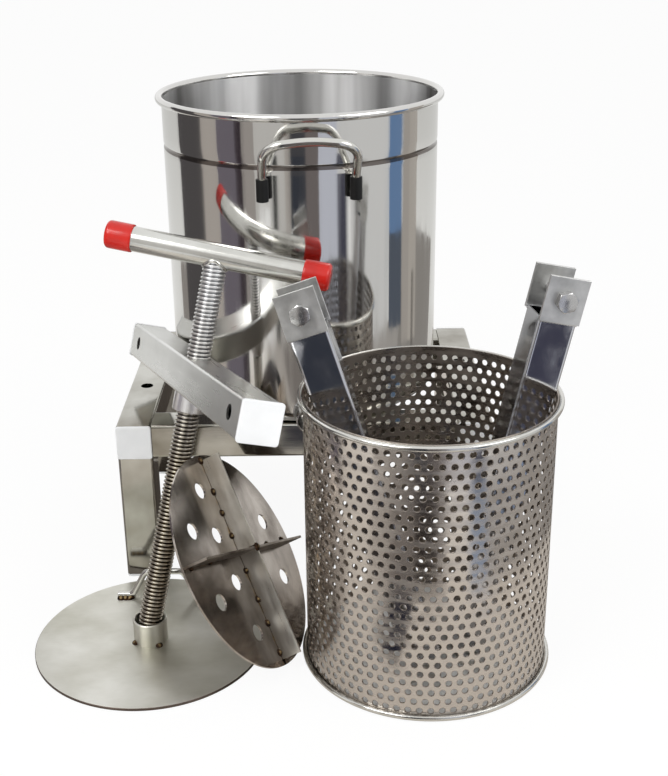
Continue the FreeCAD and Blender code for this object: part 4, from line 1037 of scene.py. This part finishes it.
def paper(name, code, shown, shaded=False):
    """White paper: matt, and lifted towards plain white for the camera by a share.

    Steel sees it a little darker near the press: a painted shade that only reflections show. Shaded paper
    isn't lifted where walls close to it take most of its sky.
    """
    made, tree = blank(name)
    path = add(tree, "LightPath")
    spot = add(tree, "NewGeometry")
    if shaded:
        open_sky = add(tree, "AmbientOcclusion", {"samples": 8}, Distance=0.25)
        lift = add(tree, "MapRange", Value=open_sky.outputs["AO"], From_Min=0.62, From_Max=0.86,
                   To_Min=0.0, To_Max=shown)
        shown = lift.outputs[0]
    share = add(tree, "Math", {"operation": "MULTIPLY"}, i0=path.outputs["Is Camera Ray"], i1=shown)
    reach = add(tree, "VectorMath", {"operation": "LENGTH"}, Vector=spot.outputs["Position"])
    # Near the press the steel sees the paper darker: painted shade for reflections alone.
    near = add(tree, "MapRange", Value=reach.outputs["Value"], From_Min=0.55, From_Max=1.0,
               To_Min=1.0, To_Max=0.0)
    mirrored = add(tree, "Math", {"operation": "MULTIPLY"}, i0=path.outputs["Is Glossy Ray"],
                   i1=near.outputs[0])
    tone = add(tree, "Mix", {"data_type": "RGBA"}, i0=mirrored.outputs[0], i6=linear(code),
               i7=linear("#d6d0c8"))
    matt = add(tree, "BsdfDiffuse", Color=tone.outputs[2])
    glow = add(tree, "Emission", Color=linear("#ffffff"), Strength=1.0)
    both = add(tree, "MixShader", i0=share.outputs[0], i1=matt.outputs[0], i2=glow.outputs[0])
    add(tree, "OutputMaterial", Surface=both.outputs[0])
    return made


def pale_floor():
    """White floor, and inside the basket a disc of the same paper that isn't lifted to white."""
    floor = flat_sheet("floor", [(-40, -40, 0), (40, -40, 0), (40, 40, 0), (-40, 40, 0)])
    floor.data.materials.append(paper("white_paper_floor", "#f4f4f2", 0.91))
    ring = around(BASKET_BORE - 0.4, 0.4, circle(96)) + BASKET[:3, 3]
    inside = flat_sheet("floor_inside_basket", ring * MM)
    inside.data.materials.append(paper("white_paper_in_shade", "#f4f4f2", 0.91, shaded=True))


def only_mirrored(card, code):
    """Paints a sheet one plain tone and shows it to reflections alone."""
    card.visible_camera = False
    card.visible_diffuse = False
    card.visible_shadow = False
    made, tree = blank(card.name + "_paint")
    glow = add(tree, "Emission", Color=linear(code), Strength=1.0)
    add(tree, "OutputMaterial", Surface=glow.outputs[0])
    card.data.materials.append(made)


def at_bearing(frame_of, bearing, distance, level):
    """A point in metres at a bearing from a piece's axis, from the viewer's side to the right."""
    a = math.radians(bearing)
    middle = frame_of[:3, 3] * MM
    return (middle[0] + distance * math.sin(a), middle[1] - distance * math.cos(a), level)


def standing_card(name, start, end, low, high, distance, code):
    """An upright sheet between two bearings from the bucket."""
    corners = [(start, low), (end, low), (end, high), (start, high)]
    only_mirrored(flat_sheet(name, [at_bearing(BUCKET, b, distance, level) for b, level in corners]), code)


def curved_card(name, start, end, near, far, code):
    """A sheet on the floor between two bearings and two distances from the basket."""
    bearings = np.linspace(start, end, max(2, int(abs(end - start) / 5)))
    corners = [at_bearing(BASKET, b, near, MM) for b in bearings]
    corners += [at_bearing(BASKET, b, far, MM) for b in bearings[::-1]]
    only_mirrored(flat_sheet(name, corners), code)


def room():
    """The darker things of a room, and a painted shade under the stand, as cards that only the steel sees.

    The standing ones give bearings, levels and distance from the bucket, in metres, and the
    flat ones bearings from the basket or edges left, right, near and far, in millimetres.
    """
    for name, start, end, low, high, distance, code in (
            ("left_doorway", -100, -73, 0.0, 0.62, 0.42, "#565354"),
            ("left_jamb", -73, -58.5, 0.0, 0.62, 0.42, "#b9b2ac"),
            ("left_curtain", -60.5, -45.5, 0.0, 0.62, 0.50, "#746e77"),
            ("left_curtain_fold", -45.5, -40.5, 0.0, 0.62, 0.50, "#3f373d"),
            ("left_wall", -45, -34, 0.0, 0.70, 0.92, "#a8a29e"),
            ("left_wall_light", -34, -11, 0.0, 0.70, 0.92, "#cfcdca"),
            ("left_strip", -31, -22, 0.0, 0.23, 0.90, "#ffffff"),
            ("left_strip_edge", -20.5, -17, 0.0, 0.30, 0.90, "#3f403f"),
            ("middle_wall", -11, -7, 0.0, 0.70, 0.92, "#b5afa9"),
            ("photographer", -7, 4.4, 0.0, 0.29, 0.90, "#3d4048"),
            ("photographer_head", -7, 4.4, 0.29, 0.70, 0.90, "#4a4a4e"),
            ("right_shade", 4.4, 14, 0.0, 0.70, 0.92, "#77706f"),
            ("right_wall", 14, 28, 0.0, 0.70, 0.92, "#cdd0dc"),
            ("right_edge", 28, 35, 0.0, 0.31, 0.90, "#4a4a58"),
            ("right_strip", 36, 48, 0.0, 0.24, 0.90, "#ffffff"),
            ("right_wall_light", 28, 74, 0.0, 0.70, 0.95, "#dfdfdf"),
            ("right_window", 72.5, 86, 0.17, 0.60, 0.90, "#6f8cb4"),
            ("right_window_sill", 72.5, 86, 0.0, 0.17, 0.90, "#5b626e"),
            ("right_frame", 86, 94, 0.0, 0.60, 0.80, "#b2aca6"),
            ("right_frame_light", 94, 104, 0.0, 0.60, 0.80, "#bcb6af"),
            ("right_post", 90, 92.5, 0.0, 0.24, 0.42, "#6a6662")):
        standing_card(name, start, end, low, high, distance, code)
    table_near, table_far = 0.33, 1.5
    for name, start, end, code in (
            ("table_far_left", -130, -86, "#97928e"), ("table_left", -50, -34, "#b8b2ac"),
            ("table_half_shade", -34, -14, "#857f7b"), ("table_shade", -14, 3, "#3a3533"),
            ("table_middle", 3, 10, "#9a9592"), ("table_window", 29, 43, "#9dabc2"),
            ("table_right", 43, 104, "#aeaaa6"), ("table_far_right", 104, 150, "#97938f")):
        curved_card(name, start, end, table_near, table_far, code)
    stand_left, stand_near = STAND[0] - STAND_WIDTH / 2, STAND[1] - STAND_DEPTH / 2
    stand_right, stand_far = STAND[0] + STAND_WIDTH / 2, STAND[1] + STAND_DEPTH / 2
    for name, left, right, near, far, code in (
            # The dark card under the stand is painted shade, for the shade there as the steel sees it.
            ("shade_under_stand", stand_left, stand_right, stand_near, stand_far, "#4a443f"),
            ("table_behind", -190, 0, 270, 750, "#4a443f"),
            ("table_before_rail", -40, 50, -520, -355, "#2c2d3a")):
        corners = np.array([(left, near, 1), (right, near, 1), (right, far, 1), (left, far, 1)])
        only_mirrored(flat_sheet(name, corners * MM), code)


def look(direction):
    """Euler angles that point an object's -Z along a direction, with its top up."""
    d = np.asarray(direction, float) / np.linalg.norm(direction)
    return (math.acos(-d[2]), 0.0, math.atan2(d[0], -d[1]) + math.pi)


def lights():
    """White surroundings, dimmer as a light than as they look, and two soft lamps."""
    world = bpy.data.worlds.new("white_studio")
    bpy.context.scene.world = world
    world.use_nodes = True
    tree = world.node_tree
    tree.nodes.clear()
    path = add(tree, "LightPath")
    seen = add(tree, "Math", {"operation": "MAXIMUM"}, i0=path.outputs["Is Camera Ray"],
               i1=path.outputs["Is Glossy Ray"])
    strength = add(tree, "MapRange", Value=seen.outputs[0], From_Min=0.0, From_Max=1.0,
                   To_Min=0.75, To_Max=1.0)
    sky = add(tree, "Background", Color=linear("#ffffff"), Strength=strength.outputs[0])
    add(tree, "OutputWorld", Surface=sky.outputs[0])
    target = np.array([0, 0, 0.2])
    for name, spot, power in (("key_lamp", (-1.2, -1.4, 1.9), 26), ("fill_lamp", (1.6, -1.0, 1.6), 16)):
        lamp = bpy.data.lights.new(name, "AREA")
        lamp.size = 1.2
        lamp.energy = power
        made = bpy.data.objects.new(name, lamp)
        bpy.context.scene.collection.objects.link(made)
        made.location = spot
        made.rotation_euler = look(target - np.array(spot))


def camera():
    """The photograph's own viewpoint: 728 mm up, 1.24 m in front, looking 22.5 degrees down."""
    viewpoint = np.array([37.91, -1241.78, 727.8])
    pitch, roll = math.radians(22.505), math.radians(0.7009)
    focal_pixels, photo_height, sensor = 1241.549, 776, 36.0
    ahead = np.array([0, math.cos(pitch), -math.sin(pitch)])
    right, up = X, np.array([0, math.sin(pitch), math.cos(pitch)])
    tilted_right = right * math.cos(roll) - up * math.sin(roll)
    tilted_up = right * math.sin(roll) + up * math.cos(roll)
    lens = bpy.data.cameras.new("viewpoint")
    lens.sensor_fit = "VERTICAL"
    lens.sensor_height = sensor
    lens.lens = focal_pixels * sensor / photo_height
    lens.clip_start, lens.clip_end = 0.05, 50
    made = bpy.data.objects.new("viewpoint", lens)
    bpy.context.scene.collection.objects.link(made)
    matrix = place(np.column_stack([tilted_right, tilted_up, -ahead]), viewpoint * MM)
    made.matrix_world = [list(row) for row in matrix.T]
    bpy.context.scene.camera = made


make_stand()
make_bucket()
make_spout()
make_bucket_handle("front", 0)
make_bucket_handle("rear", 180)
make_basket()
make_disc()
make_disc_tacks()
make_plate()
make_plate_tacks()
make_screw()
make_handle()
make_beam()
make_arm("left")
make_arm("right")
pale_floor()
room()
lights()
camera()
bpy.context.scene.view_settings.view_transform = "Standard"
